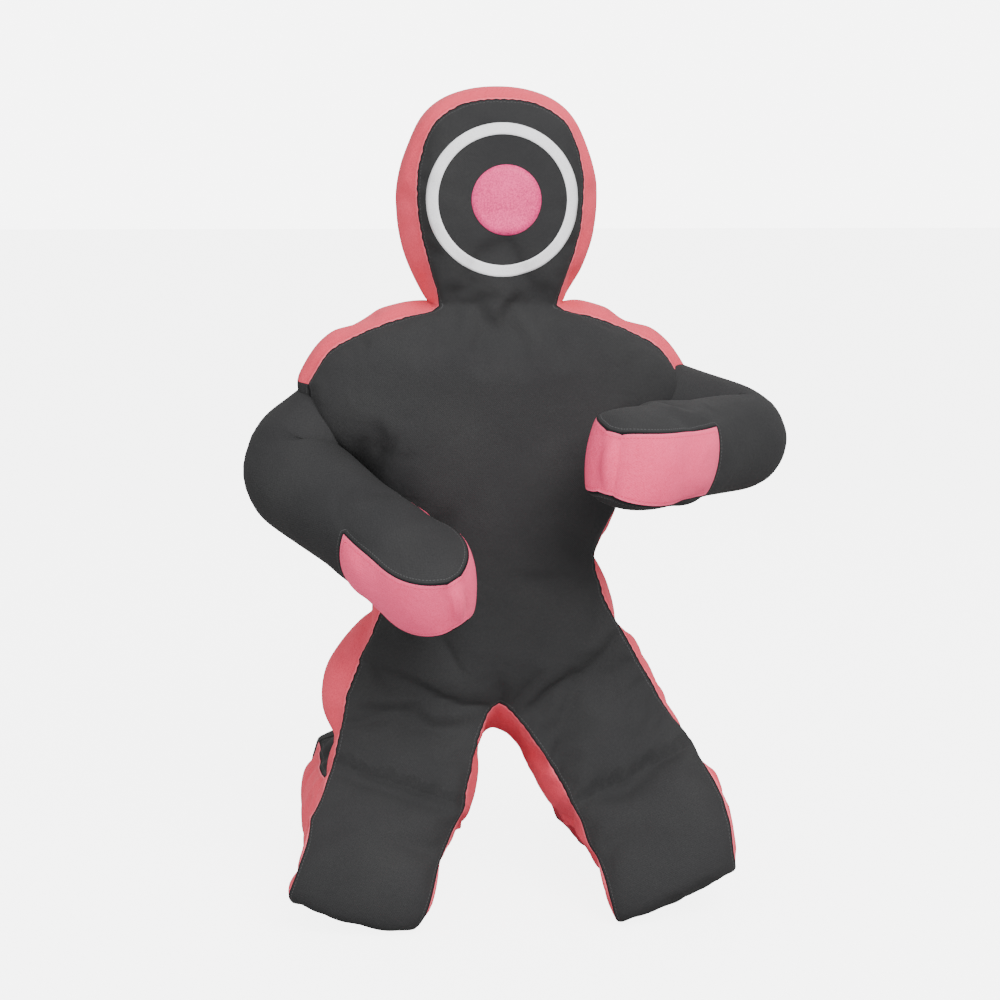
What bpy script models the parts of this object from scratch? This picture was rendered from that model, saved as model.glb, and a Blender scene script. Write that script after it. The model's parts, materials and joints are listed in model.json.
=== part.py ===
"""A kneeling grappling dummy: canvas covers over firm stuffing, jointed like a body.

Metres, +Z up. The dummy faces -Y, so its own right side is at -X. The origin is on the
floor, under the middle of the whole dummy's box. Each stuffed part is a fill with its
covers round it, and every joint has its pivot on an empty that the moving pieces hang
from. Places below are given about the body's own middle plane, which BODY_SHIFT sets
in the frame.
"""

import math

import bmesh
import bpy
from mathutils import Matrix, Vector

BODY_SHIFT = Vector((-0.0305, 0.0054, 0.0))

# Cloth and clearances
COVER = 0.002             # thickness of a canvas cover
GAP = 0.0004              # clearance between pieces that touch
JOINT_CLEARANCE = 0.0015  # clearance between a joint's ball and its neighbours
GUSSET_BULGE = 0.013      # how far a gusset swells past its seams
GUSSET_STEPS = (-1.0, -0.5, 0.0, 0.5, 1.0)

# Neck, a stuffed pad between the head and the torso
NECK_PIVOT = Vector((0.0, 0.0, 0.720))
NECK_HALF_WIDTH = 0.060
NECK_HALF_HEIGHT = 0.036
NECK_ROOM = NECK_HALF_HEIGHT + 0.0045

# Head
HEAD_TOP = 1.0
HEAD_BOTTOM = NECK_PIVOT.z + NECK_ROOM
HEAD_WIDEST = 0.872
HEAD_HALF_WIDTH = 0.102   # to the seams
HEAD_JAW = ((0.98, 0.30), (0.87, 0.72), (0.71, 1.0))  # shares of width and of drop
HEAD_SEAM_DEPTH = 0.066
HEAD_CROWN = 0.020        # how far a panel swells past its seams
HEAD_FLAT = 0.93          # share of the face that is flat
TARGET_HEIGHT = 0.862
RING_OUTER = 0.0915
RING_INNER = 0.0765
DISC_RADIUS = 0.0415
PRINT = 0.0004            # thickness of the printed target

# Torso: an outline of one half, from the neck down to the crotch, to the seams
TORSO_CENTRE = 0.47
TORSO_TOP = NECK_PIVOT.z - NECK_ROOM
TORSO_SEAM_DEPTH = 0.066
TORSO_CROWN = 0.028
TORSO_FLAT = 0.66
TORSO_HALF = (
    (0.064, TORSO_TOP),
    (0.110, 0.668),
    (0.110, 0.600),
    (0.122, 0.555),
    (0.128, 0.500),
    (0.118, 0.430),
    (0.143, 0.370),
    (0.168, 0.324),
    (0.125, 0.302),
    (0.075, 0.284),
    (0.025, 0.264),
)
CROTCH = 0.256

# Back zip, in a slot in the flat middle of the back
ZIP_BOTTOM = 0.352
ZIP_TOP = 0.600
ZIP_TAPE_HALF = 0.014
ZIP_TAPE = 0.0008
ZIP_TEETH_HALF = 0.0028
ZIP_TEETH = 0.0016
ZIP_STOP = 0.005
SLIDER_SIZE = (0.011, 0.004, 0.016)
PULL_SIZE = (0.007, 0.0018, 0.036)
PULL_GAP = 0.0013

# Arms: pivots and finger tips, and tube sizes
SHOULDER = {"right": Vector((-0.165, 0.0, 0.650)), "left": Vector((0.165, 0.0, 0.650))}
ELBOW = {"right": Vector((-0.243, -0.022, 0.545)), "left": Vector((0.304, -0.050, 0.566))}
FINGERTIP = {"right": Vector((-0.036, -0.262, 0.424)), "left": Vector((0.078, -0.290, 0.575))}
SHOULDER_RADIUS = 0.058
SHOULDER_SETBACK = 0.036  # from the shoulder's pivot to the end of the upper arm
ARM_RADIUS = 0.055
WRIST_HALF_DEPTH = 0.050
HAND_HALF_WIDTH = 0.054
HAND_HALF_DEPTH = 0.045
HAND_LENGTH = 0.125
HAND_SEAM = math.radians(48)

# Legs: pivots, toe ends and section sizes
HIP = {"right": Vector((-0.112, 0.0, 0.243)), "left": Vector((0.112, 0.0, 0.243))}
KNEE = {"right": Vector((-0.168, -0.112, 0.082)), "left": Vector((0.186, -0.112, 0.087))}
TOE = {"right": Vector((-0.146, 0.290, 0.060)), "left": Vector((0.162, 0.290, 0.060))}
HIP_RADIUS = 0.060
HIP_SETBACK = 0.045       # from the hip's pivot to the end of the thigh
LEG_HALF_WIDTH = 0.080
LEG_HALF_DEPTH = 0.064
KNEE_RADIUS = 0.062
FOOT_HALF_WIDTH = 0.074
FOOT_HALF_DEPTH = 0.078
SHIN_SHARES = (0.0, 0.35, 0.7)  # places of the shin's sections, from the knee to the foot
SHIN_UNTWIST = 1.5        # how soon along the shin its roll at the knee is gone
LEG_SEAM = math.radians(30)

SQUARENESS = 2.6          # exponent of a section: 2 is an ellipse, more is boxier
END_BENDS = (0, 32, 58, 80)       # degrees round the rounded end of a hand or foot
END_HOLD = 0.15                   # how little the end's other dimension shrinks
SIDE_STEPS = 3                    # facets across a gusset and across a panel
PANEL_STEPS = 5
FOLD_ROOM = math.radians(6)       # room left to fold an elbow or knee further than at rest
MITRE_SHARE = 0.8                 # most of an upper limb's length that its mitre may take


def new_collection(name):
    collection = bpy.data.collections.new(name)
    bpy.context.scene.collection.children.link(collection)
    return collection


def new_material(name, colour, roughness, metallic=0.0):
    material = bpy.data.materials.new(name)
    material.use_nodes = True
    shader = material.node_tree.nodes["Principled BSDF"]
    shader.inputs["Base Color"].default_value = (*colour, 1.0)
    shader.inputs["Roughness"].default_value = roughness
    shader.inputs["Metallic"].default_value = metallic
    material.diffuse_color = (*colour, 1.0)
    return material


for startup_object in list(bpy.data.objects):
    bpy.data.objects.remove(startup_object, do_unlink=True)

PARTS = new_collection("grappling_dummy")
CUTTERS = new_collection("cutters")

BLACK = new_material("black_canvas", (0.052, 0.053, 0.055), 0.85)
PINK = new_material("pink_canvas", (0.74, 0.24, 0.29), 0.80)
STUFFING = new_material("stuffing", (0.55, 0.53, 0.50), 0.95)
WHITE_PRINT = new_material("white_print", (0.80, 0.79, 0.80), 0.60)
PINK_PRINT = new_material("pink_print", (0.70, 0.17, 0.36), 0.60)
ZIP_CLOTH = new_material("zip_cloth", (0.030, 0.030, 0.032), 0.80)
ZIP_PLASTIC = new_material("zip_plastic", (0.040, 0.040, 0.042), 0.45)
ZIP_METAL = new_material("zip_metal", (0.30, 0.30, 0.32), 0.35, 1.0)


# ------------------------------------------------------------------ placing pieces


def place_in_frame(obj):
    place = obj.location.copy()
    while obj.parent is not None:
        obj = obj.parent
        place += obj.location
    return place


def new_pivot(name, place, parent=None):
    pivot = bpy.data.objects.new(name, None)
    pivot.empty_display_size = 0.03
    PARTS.objects.link(pivot)
    pivot.parent = parent
    pivot.location = place + BODY_SHIFT - (place_in_frame(parent) if parent else Vector())
    return pivot


def add_piece(name, bm, finish, pivot):
    """Makes a node from a mesh in the body's own places, with its origin on its pivot."""
    bmesh.ops.recalc_face_normals(bm, faces=bm.faces)
    bmesh.ops.translate(bm, verts=bm.verts, vec=BODY_SHIFT - place_in_frame(pivot))
    mesh = bpy.data.meshes.new(name)
    bm.to_mesh(mesh)
    bm.free()
    mesh.shade_smooth()
    mesh.set_sharp_from_angle(angle=math.radians(40))
    mesh.materials.append(finish)
    piece = bpy.data.objects.new(name, mesh)
    PARTS.objects.link(piece)
    piece.parent = pivot
    return piece


def box_mesh(low, high):
    bm = bmesh.new()
    bmesh.ops.create_cube(bm, size=1.0)
    bmesh.ops.scale(bm, verts=bm.verts, vec=high - low)
    bmesh.ops.translate(bm, verts=bm.verts, vec=(low + high) / 2)
    return bm


def add_box(name, middle, size, finish, pivot, rounding=0.0):
    half = Vector(size) / 2
    box = add_piece(name, box_mesh(middle - half, middle + half), finish, pivot)
    if rounding:
        box.modifiers.new("edges", "BEVEL").width = rounding
    return box


# ------------------------------------------------------------------ lofts and covers


def add_rows(bm, rows, closed):
    """Quads between rows of points, and the grid of their vertices."""
    grid = [[bm.verts.new(point) for point in row] for row in rows]
    for near, far in zip(grid, grid[1:]):
        join_lines(bm, near, far, closed)
    return grid


def join_lines(bm, near, far, closed):
    count = len(near)
    for i in range(count if closed else count - 1):
        j = (i + 1) % count
        bm.faces.new((near[i], near[j], far[j], far[i]))


def close_ring(bm, ring):
    """Closes a ring with a fan round its middle."""
    middle = bm.verts.new(sum((vert.co for vert in ring), Vector()) / len(ring))
    for i, vert in enumerate(ring):
        bm.faces.new((vert, ring[(i + 1) % len(ring)], middle))


def add_fill(name, rows, pivot, finish=STUFFING):
    bm = bmesh.new()
    grid = add_rows(bm, rows, closed=True)
    close_ring(bm, grid[0])
    close_ring(bm, grid[-1])
    return add_piece(name, bm, finish, pivot)


def add_cover(name, rows_at, finish, pivot, closed=False, domed=False):
    """A shell between the surface and the surface inset by a cover's thickness.

    rows_at(inset) gives the rows of points. A closed cover's rows are rings, and a
    domed one's first ring is closed over.
    """
    bm = bmesh.new()
    outer = add_rows(bm, rows_at(0.0), closed)
    inner = add_rows(bm, rows_at(COVER), closed)
    join_lines(bm, outer[-1], inner[-1], closed)
    if domed:
        close_ring(bm, outer[0])
        close_ring(bm, inner[0])
    else:
        join_lines(bm, outer[0], inner[0], closed)
    if not closed:
        for column in (0, -1):
            outer_edge = [row[column] for row in outer]
            inner_edge = [row[column] for row in inner]
            join_lines(bm, outer_edge, inner_edge, False)
    return add_piece(name, bm, finish, pivot)


def kept_between(rows, lowest=-math.inf, highest=math.inf):
    """The rows with no point below or above the given levels."""
    return [[Vector((p.x, p.y, min(max(p.z, lowest), highest))) for p in row] for row in rows]


# ------------------------------------------------------------------ head and torso


class Pillow:
    """Two panels of one upright outline, a gusset between their seams, and stuffing.

    The outline is a ring of (x, z) about a centre that sees every point of it, so any
    ring of the surface is the outline at a scale, swollen outwards or inset.
    """

    def __init__(self, outline, centre_height, seam_depth, crown, flat):
        self.outline = outline
        self.centre = Vector((0.0, 0.0, centre_height))
        self.seam_depth = seam_depth
        self.crown = crown
        self.flat = flat

    def ring(self, scale, swell, depth):
        points = []
        for x, z in self.outline:
            size = scale + swell / math.hypot(x, z)
            points.append(self.centre + Vector((x * size, depth, z * size)))
        return points

    def panel_rows(self, side, inset, gap=GAP):
        """Rings of the front (side -1) or back (side 1) panel, from its middle outwards."""
        top = self.seam_depth + self.crown - inset
        rows = [self.ring(scale, 0.0, side * top) for scale in (0.1, self.flat)]
        middle_share = (1 + self.flat) / 2
        shoulder = self.seam_depth + 0.72 * self.crown - inset
        rows.append(self.ring(middle_share, -inset * 0.5, side * shoulder))
        rows.append(self.ring(1.0, -inset, side * (self.seam_depth - inset + gap)))
        return rows

    def gusset_rows(self, inset, gap=GAP):
        rows = []
        for step in GUSSET_STEPS:
            swell = GUSSET_BULGE * (1 - step * step) - inset
            edge = inset * step * step + gap
            rows.append(self.ring(1.0, swell, step * (self.seam_depth - edge)))
        return rows

    def gusset_between(self, first, last):
        """Rows of the gusset along a stretch of the outline, as a function of the inset."""
        count = len(self.outline)
        picks = [i % count for i in range(first, last + 1)]
        return lambda inset: [[row[i] for i in picks] for row in self.gusset_rows(inset)]

    def fill_rows(self):
        inset = COVER + GAP
        front = self.panel_rows(-1, inset, 0.0)
        back = self.panel_rows(1, inset, 0.0)
        return front + self.gusset_rows(inset, 0.0)[1:-1] + back[::-1]


def head_outline():
    """A round crown over cheeks that narrow to a flat chin."""
    rise = HEAD_TOP - GUSSET_BULGE - HEAD_WIDEST
    drop = HEAD_BOTTOM - HEAD_WIDEST
    steps = 16
    angles = [math.pi * i / steps for i in range(steps + 1)]
    crown = [(HEAD_HALF_WIDTH * math.cos(a), rise * math.sin(a)) for a in angles]
    left_jaw = [(-HEAD_HALF_WIDTH * x, drop * z) for x, z in HEAD_JAW]
    right_jaw = [(-x, z) for x, z in reversed(left_jaw)]
    return crown + left_jaw + [(0.0, drop)] + right_jaw


def build_head(neck):
    pivot = new_pivot("head_pivot", NECK_PIVOT, neck)
    outline = head_outline()
    head = Pillow(outline, HEAD_WIDEST, HEAD_SEAM_DEPTH, HEAD_CROWN, HEAD_FLAT)
    jaw = len(HEAD_JAW)
    gusset = head.gusset_between(-jaw, len(outline) - jaw - 2)
    add_fill("head_fill", kept_between(head.fill_rows(), HEAD_BOTTOM + COVER), pivot)
    for name, side in (("face_panel", -1), ("head_back_panel", 1)):
        add_cover(name, lambda inset: head.panel_rows(side, inset), BLACK, pivot, True, True)
    add_cover(
        "head_gusset",
        lambda inset: kept_between(gusset(inset), HEAD_BOTTOM),
        PINK,
        pivot,
    )
    add_target("target_ring", RING_OUTER, RING_INNER, WHITE_PRINT, pivot)
    add_target("target_disc", DISC_RADIUS, 0.0, PINK_PRINT, pivot)


def add_target(name, outer, inner, finish, pivot):
    """A thin printed ring or disc on the flat of the face."""
    back = -(HEAD_SEAM_DEPTH + HEAD_CROWN + GAP)
    outline = bpy.data.curves.new(name, "CURVE")
    outline.dimensions = "2D"
    outline.fill_mode = "BOTH"
    outline.extrude = PRINT / 2
    for radius in filter(None, (outer, inner)):
        add_circle(outline, radius)
    target = bpy.data.objects.new(name, outline)
    PARTS.objects.link(target)
    target.parent = pivot
    middle = Vector((0.0, back - PRINT / 2, TARGET_HEIGHT))
    target.location = middle + BODY_SHIFT - place_in_frame(pivot)
    target.rotation_euler.x = math.radians(90)
    outline.materials.append(finish)


def add_circle(curve, radius, points=40):
    spline = curve.splines.new("POLY")
    spline.points.add(points - 1)
    for i, point in enumerate(spline.points):
        angle = 2 * math.pi * i / points
        point.co = (radius * math.cos(angle), radius * math.sin(angle), 0.0, 1.0)
    spline.use_cyclic_u = True


def torso_outline():
    """From the middle of the neck down the left side, round the crotch and up the right."""
    left = [(x, z - TORSO_CENTRE) for x, z in TORSO_HALF]
    right = [(-x, z) for x, z in reversed(left)]
    return [(0.0, TORSO_TOP - TORSO_CENTRE)] + left + [(0.0, CROTCH - TORSO_CENTRE)] + right


def build_torso(root, sockets):
    outline = torso_outline()
    torso = Pillow(outline, TORSO_CENTRE, TORSO_SEAM_DEPTH, TORSO_CROWN, TORSO_FLAT)
    fill = add_fill("torso_fill", kept_between(torso.fill_rows(), highest=TORSO_TOP), root)
    panels = {}
    for name, side in (("torso_front_panel", -1), ("torso_back_panel", 1)):
        panels[name] = add_cover(
            name, lambda inset: torso.panel_rows(side, inset), BLACK, root, True, True
        )
    cut(panels["torso_back_panel"], zip_slot())
    crotch = len(TORSO_HALF) + 1
    stretches = {"left": (1, crotch), "right": (crotch, len(outline) - 1)}
    for side, (first, last) in stretches.items():
        band = torso.gusset_between(first, last)
        gusset = add_cover(
            f"{side}_side_gusset", lambda inset: clear_of_middle(band(inset), side), PINK, root
        )
        for joint in ("shoulder", "hip"):
            cut(fill, sockets[side, joint])
            cut(gusset, sockets[side, joint])


def clear_of_middle(rows, side):
    """Keeps the two gussets apart where they meet at the crotch."""
    if side == "left":
        return [[Vector((max(p.x, GAP), p.y, p.z)) for p in row] for row in rows]
    return [[Vector((min(p.x, -GAP), p.y, p.z)) for p in row] for row in rows]


def new_cutter(name, bm):
    bmesh.ops.translate(bm, verts=bm.verts, vec=BODY_SHIFT)
    mesh = bpy.data.meshes.new(name)
    bm.to_mesh(mesh)
    bm.free()
    cutter = bpy.data.objects.new(name, mesh)
    CUTTERS.objects.link(cutter)
    cutter.hide_render = True
    cutter.display_type = "WIRE"
    return cutter


def cut(piece, cutter):
    piece.modifiers.new(cutter.name, "BOOLEAN").object = cutter


def zip_slot():
    half = ZIP_TAPE_HALF + GAP
    top = TORSO_SEAM_DEPTH + TORSO_CROWN
    low = Vector((-half, top - 0.010, ZIP_BOTTOM - GAP))
    high = Vector((half, top + 0.010, ZIP_TOP + GAP))
    return new_cutter("zip_slot", box_mesh(low, high))


def socket(name, pivot, radius):
    """A cutter that leaves a stuffed pad its running clearance."""
    bm = bmesh.new()
    reach = radius + JOINT_CLEARANCE
    bmesh.ops.create_uvsphere(bm, u_segments=24, v_segments=16, radius=reach)
    bmesh.ops.translate(bm, verts=bm.verts, vec=pivot)
    return new_cutter(name, bm)


def build_zip(root):
    """Tape in the slot, teeth on it, a stop at each end, and the slider with its pull."""
    bed = TORSO_SEAM_DEPTH + TORSO_CROWN - COVER
    middle_z = (ZIP_BOTTOM + ZIP_TOP) / 2
    length = ZIP_TOP - ZIP_BOTTOM
    tape = Vector((0.0, bed + ZIP_TAPE / 2, middle_z))
    add_box("zip_tape", tape, (2 * ZIP_TAPE_HALF, ZIP_TAPE, length), ZIP_CLOTH, root)

    on_tape = bed + ZIP_TAPE + GAP + ZIP_TEETH / 2
    teeth_length = length - 2 * (ZIP_STOP + GAP)
    teeth = Vector((0.0, on_tape, middle_z))
    add_box("zip_teeth", teeth, (2 * ZIP_TEETH_HALF, ZIP_TEETH, teeth_length), ZIP_PLASTIC, root)
    for name, z in (("zip_bottom_stop", ZIP_BOTTOM), ("zip_top_stop", ZIP_TOP - ZIP_STOP)):
        stop = Vector((0.0, on_tape, z + ZIP_STOP / 2))
        add_box(name, stop, (2 * ZIP_TEETH_HALF, ZIP_TEETH, ZIP_STOP), ZIP_METAL, root)

    _, thick, tall = SLIDER_SIZE
    slider_y = on_tape + ZIP_TEETH / 2 + GAP + thick / 2
    slider_z = ZIP_TOP - ZIP_STOP - tall / 2
    slider = Vector((0.0, slider_y, slider_z))
    slider_pivot = new_pivot("zip_slider_place", slider, root)
    add_box("zip_slider", slider, SLIDER_SIZE, ZIP_METAL, slider_pivot, 0.0008)

    _, pull_thick, pull_tall = PULL_SIZE
    hook = Vector((0.0, slider_y + thick / 2 + PULL_GAP + pull_thick / 2, slider_z + 0.003))
    pull_pivot = new_pivot("zip_pull_pivot", hook, slider_pivot)
    pull = hook - Vector((0.0, 0.0, pull_tall / 2 - PULL_GAP))
    add_box("zip_pull", pull, PULL_SIZE, ZIP_METAL, pull_pivot, 0.0006)


# ------------------------------------------------------------------ joints and limbs


def add_pad(name, centre, axis, half_length, radius, squareness, finish, pivot, lowest=-1.0):
    """A stuffed pad in a joint: round about the axis, so it turns in place."""
    axis = axis.normalized()
    one = axis.orthogonal().normalized()
    other = axis.cross(one)
    steps = 14
    rows = []
    for tilt in (-78, -52, -26, 0, 26, 52, 78):
        angle = math.radians(tilt)
        reach = math.copysign(abs(math.sin(angle)) ** (2 / squareness), angle) * half_length
        size = math.cos(angle) ** (2 / squareness) * radius
        turns = [2 * math.pi * i / steps for i in range(steps)]
        ring = [one * math.cos(turn) * size + other * math.sin(turn) * size for turn in turns]
        rows.append([centre + axis * reach + point for point in ring])
    add_fill(name, kept_between(rows, lowest), pivot, finish)


class Section:
    """One section of a limb: its centre, its axes and its half sizes.

    The slant slides points on the crease side along the limb, which mitres its end.
    A bend, in degrees, is how far round the limb's rounded end the section lies: the
    end is round in the section's width (rounds = "width") or in its depth.
    """

    def __init__(self, centre, axes, width, depth, slant=0.0, bend=0.0, rounds="width"):
        self.centre = centre
        self.axes = axes
        self.width = width
        self.depth = depth
        self.slant = slant
        self.bend = math.radians(bend)
        self.rounds = rounds

    def point(self, angle, inset=0.0):
        width, depth = self.width - inset, self.depth - inset
        radius = width if self.rounds == "width" else depth
        round_share, square_share = math.cos(self.bend), math.cos(self.bend) ** END_HOLD
        if self.rounds == "width":
            width, depth = width * round_share, depth * square_share
        else:
            width, depth = width * square_share, depth * round_share
        cosine, sine = math.cos(angle), math.sin(angle)
        x = math.copysign(abs(cosine) ** (2 / SQUARENESS), cosine) * width
        y = math.copysign(abs(sine) ** (2 / SQUARENESS), sine) * depth
        reach = self.slant * max(0.0, y) + radius * math.sin(self.bend)
        along, across, up = self.axes
        return self.centre + across * x + up * y + along * reach


def limb_axes(start, end, up_hint):
    """Unit vectors along a limb, across it, and up: square to it, towards the hint."""
    along = (end - start).normalized()
    up = (up_hint - along * up_hint.dot(along)).normalized()
    return along, up.cross(along), up


def turned_axes(axes, share):
    """The axes turned about the limb, by a share of the turn that points up at the sky."""
    along, across, up = axes
    sky = Vector((0, 0, 1))
    turn = Matrix.Rotation(share * math.atan2(-sky.dot(across), sky.dot(up)), 3, along)
    return along, turn @ across, turn @ up


def crease_slant(joint, one, other, start, depth):
    """The slant of a limb's first section, so that two limbs meet at a mitre at rest."""
    fold = (one - joint).angle(other - joint) - FOLD_ROOM
    return max(0.0, depth / math.tan(fold / 2) - start) / depth


def round_angles(seam):
    """Angles round a section, with a vertex at each of its four seams."""
    side = [seam * (2 * i / SIDE_STEPS - 1) for i in range(SIDE_STEPS)]
    span = math.pi - 2 * seam
    panel = [seam + span * i / PANEL_STEPS for i in range(PANEL_STEPS)]
    half = side + panel
    return half + [angle + math.pi for angle in half]


def tube_rows(sections, seam, inset, lowest=-1.0):
    rows = [[s.point(angle, inset) for angle in round_angles(seam)] for s in sections]
    return kept_between(rows, lowest + inset)


def band_rows(sections, start, end, steps, inset, lowest=-1.0):
    """Rows round part of the tube, from one seam to the next."""
    rows = []
    for section in sections:
        edge = GAP / section.depth
        span = (end - start - 2 * edge) / steps
        rows.append([section.point(start + edge + span * i, inset) for i in range(steps + 1)])
    return kept_between(rows, lowest + inset)


def upper_arm_sections(side):
    """From the elbow's crease up to the shoulder pad."""
    shoulder, elbow, tip = SHOULDER[side], ELBOW[side], FINGERTIP[side]
    axes = limb_axes(elbow, shoulder, tip - elbow)
    start = ARM_RADIUS + GAP
    end = (shoulder - elbow).length - SHOULDER_SETBACK
    longest = MITRE_SHARE * (end - start) / ARM_RADIUS
    slant = min(crease_slant(elbow, shoulder, tip, start, ARM_RADIUS), longest)
    places = ((start, slant), ((start + end) / 2, slant / 2), (end, 0.0))
    return [
        Section(elbow + axes[0] * reach, axes, ARM_RADIUS, ARM_RADIUS, slope)
        for reach, slope in places
    ]


def forearm_sections(side):
    """From the elbow's crease to the wrist, then round the end of the hand."""
    shoulder, elbow, tip = SHOULDER[side], ELBOW[side], FINGERTIP[side]
    axes = limb_axes(elbow, tip, shoulder - elbow)
    along = axes[0]
    start = ARM_RADIUS + JOINT_CLEARANCE
    length = (tip - elbow).length
    wrist = length - HAND_LENGTH
    slant = crease_slant(elbow, shoulder, tip, start, ARM_RADIUS)
    middle = elbow + along * (start + wrist) / 2
    hand_axes = turned_axes(axes, 1.0)
    sections = [
        Section(elbow + along * start, axes, ARM_RADIUS, ARM_RADIUS, slant),
        Section(middle, turned_axes(axes, 0.5), ARM_RADIUS, ARM_RADIUS, slant / 2),
        Section(elbow + along * wrist, hand_axes, HAND_HALF_WIDTH, WRIST_HALF_DEPTH),
    ]
    knuckles = elbow + along * (length - HAND_HALF_WIDTH)
    for bend in END_BENDS:
        sections.append(Section(knuckles, hand_axes, HAND_HALF_WIDTH, HAND_HALF_DEPTH, bend=bend))
    return sections


def hand_gusset_rows(sections, inset):
    """The band down one side of the hand, round its end and back along the other."""
    edge = GAP / HAND_HALF_DEPTH
    span = 2 * (HAND_SEAM - edge) / SIDE_STEPS
    angles = [edge - HAND_SEAM + span * i for i in range(SIDE_STEPS + 1)]
    near = [[s.point(angle, inset) for angle in angles] for s in sections]
    far = [[s.point(math.pi - angle, inset) for angle in angles] for s in reversed(sections)]
    return near + far


def build_arm(side, root, shoulder_socket):
    shoulder = new_pivot(f"{side}_shoulder_pivot", SHOULDER[side], root)
    upper_arm = new_pivot(f"{side}_upper_arm_pivot", SHOULDER[side], shoulder)
    forearm = new_pivot(f"{side}_elbow_pivot", ELBOW[side], upper_arm)
    inset = COVER + GAP
    upper = upper_arm_sections(side)
    lower = forearm_sections(side)
    add_round_pad(f"{side}_shoulder_pad", SHOULDER[side], SHOULDER_RADIUS, shoulder)
    add_round_pad(f"{side}_elbow_pad", ELBOW[side], ARM_RADIUS, upper_arm)
    for name, sections, pivot in (("upper_arm", upper, upper_arm), ("forearm", lower, forearm)):
        fill = add_fill(f"{side}_{name}_fill", tube_rows(sections, HAND_SEAM, inset), pivot)
        if name == "upper_arm":
            cut(fill, shoulder_socket)
        add_cover(
            f"{side}_{name}_sleeve",
            lambda depth: tube_rows(sections[:3], HAND_SEAM, depth),
            BLACK,
            pivot,
            closed=True,
        )
    wrist = lower[2]
    clear_of_sleeve = wrist.centre + wrist.axes[0] * GAP
    hand = [Section(clear_of_sleeve, wrist.axes, wrist.width, wrist.depth)] + lower[3:]
    add_cover(f"{side}_hand_gusset", lambda depth: hand_gusset_rows(hand, depth), PINK, forearm)
    for name, start in (("top", HAND_SEAM), ("palm", math.pi + HAND_SEAM)):
        end = start + math.pi - 2 * HAND_SEAM
        add_cover(
            f"{side}_hand_{name}_panel",
            lambda depth: band_rows(hand, start, end, PANEL_STEPS, depth),
            BLACK,
            forearm,
        )


def add_round_pad(name, centre, radius, pivot):
    add_pad(name, centre, Vector((0, 0, 1)), radius, radius, 2.0, BLACK, pivot)


def thigh_sections(side):
    """From the fold behind the knee up to the hip pad."""
    hip, knee, toe = HIP[side], KNEE[side], TOE[side]
    axes = limb_axes(knee, hip, toe - knee)
    start = KNEE_RADIUS + GAP
    end = (hip - knee).length - HIP_SETBACK
    longest = MITRE_SHARE * (end - start) / LEG_HALF_DEPTH
    slant = min(crease_slant(knee, hip, toe, start, LEG_HALF_DEPTH), longest)
    places = ((start, slant), ((start + end) / 2, slant / 2), (end, 0.0))
    return [
        Section(knee + axes[0] * reach, axes, LEG_HALF_WIDTH, LEG_HALF_DEPTH, slope)
        for reach, slope in places
    ]


def shin_sections(side):
    """From the fold behind the knee back to the rounded end of the foot."""
    hip, knee, toe = HIP[side], KNEE[side], TOE[side]
    axes = limb_axes(knee, toe, hip - knee)
    along = axes[0]
    start = KNEE_RADIUS + JOINT_CLEARANCE
    end = (toe - knee).length - FOOT_HALF_DEPTH
    slant = crease_slant(knee, hip, toe, start, LEG_HALF_DEPTH)
    sections = []
    for share in SHIN_SHARES:
        width = LEG_HALF_WIDTH + (FOOT_HALF_WIDTH - LEG_HALF_WIDTH) * share
        depth = LEG_HALF_DEPTH + (FOOT_HALF_DEPTH - LEG_HALF_DEPTH) * share
        centre = knee + along * (start + (end - start) * share)
        turned = turned_axes(axes, min(1.0, share * SHIN_UNTWIST))
        sections.append(Section(centre, turned, width, depth, slant * (1 - share)))
    heel = knee + along * end
    flat = turned_axes(axes, 1.0)
    for bend in END_BENDS:
        sections.append(Section(heel, flat, FOOT_HALF_WIDTH, FOOT_HALF_DEPTH, 0.0, bend, "depth"))
    return sections


def add_leg_covers(name, sections, outer_first, pivot, lowest):
    """A front and a back panel, and a gusset down each side."""
    first, second = ("outer", "inner") if outer_first else ("inner", "outer")
    turn = 2 * math.pi
    covers = (
        (f"{name}_{first}_gusset", -LEG_SEAM, LEG_SEAM, SIDE_STEPS, PINK),
        (f"{name}_back_panel", LEG_SEAM, turn / 2 - LEG_SEAM, PANEL_STEPS, BLACK),
        (f"{name}_{second}_gusset", turn / 2 - LEG_SEAM, turn / 2 + LEG_SEAM, SIDE_STEPS, PINK),
        (f"{name}_front_panel", turn / 2 + LEG_SEAM, turn - LEG_SEAM, PANEL_STEPS, BLACK),
    )
    for label, start, end, steps, finish in covers:
        add_cover(
            label,
            lambda depth: band_rows(sections, start, end, steps, depth, lowest),
            finish,
            pivot,
        )


def build_leg(side, root, hip_socket):
    hip = new_pivot(f"{side}_hip_pivot", HIP[side], root)
    thigh = new_pivot(f"{side}_thigh_pivot", HIP[side], hip)
    shin = new_pivot(f"{side}_knee_pivot", KNEE[side], thigh)
    inset = COVER + GAP
    add_round_pad(f"{side}_hip_pad", HIP[side], HIP_RADIUS, hip)
    upper = thigh_sections(side)
    lower = shin_sections(side)
    hinge = upper[0].axes[1]
    half = LEG_HALF_WIDTH - COVER
    add_pad(f"{side}_knee_pad", KNEE[side], hinge, half, KNEE_RADIUS, 4.0, BLACK, thigh, 0.0)
    cut(add_fill(f"{side}_thigh_fill", tube_rows(upper, LEG_SEAM, inset), thigh), hip_socket)
    add_fill(f"{side}_shin_fill", tube_rows(lower, LEG_SEAM, inset, 0.0), shin)
    add_leg_covers(f"{side}_thigh", upper, side == "left", thigh, -1.0)
    add_leg_covers(f"{side}_shin", lower, side == "right", shin, 0.0)


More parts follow.
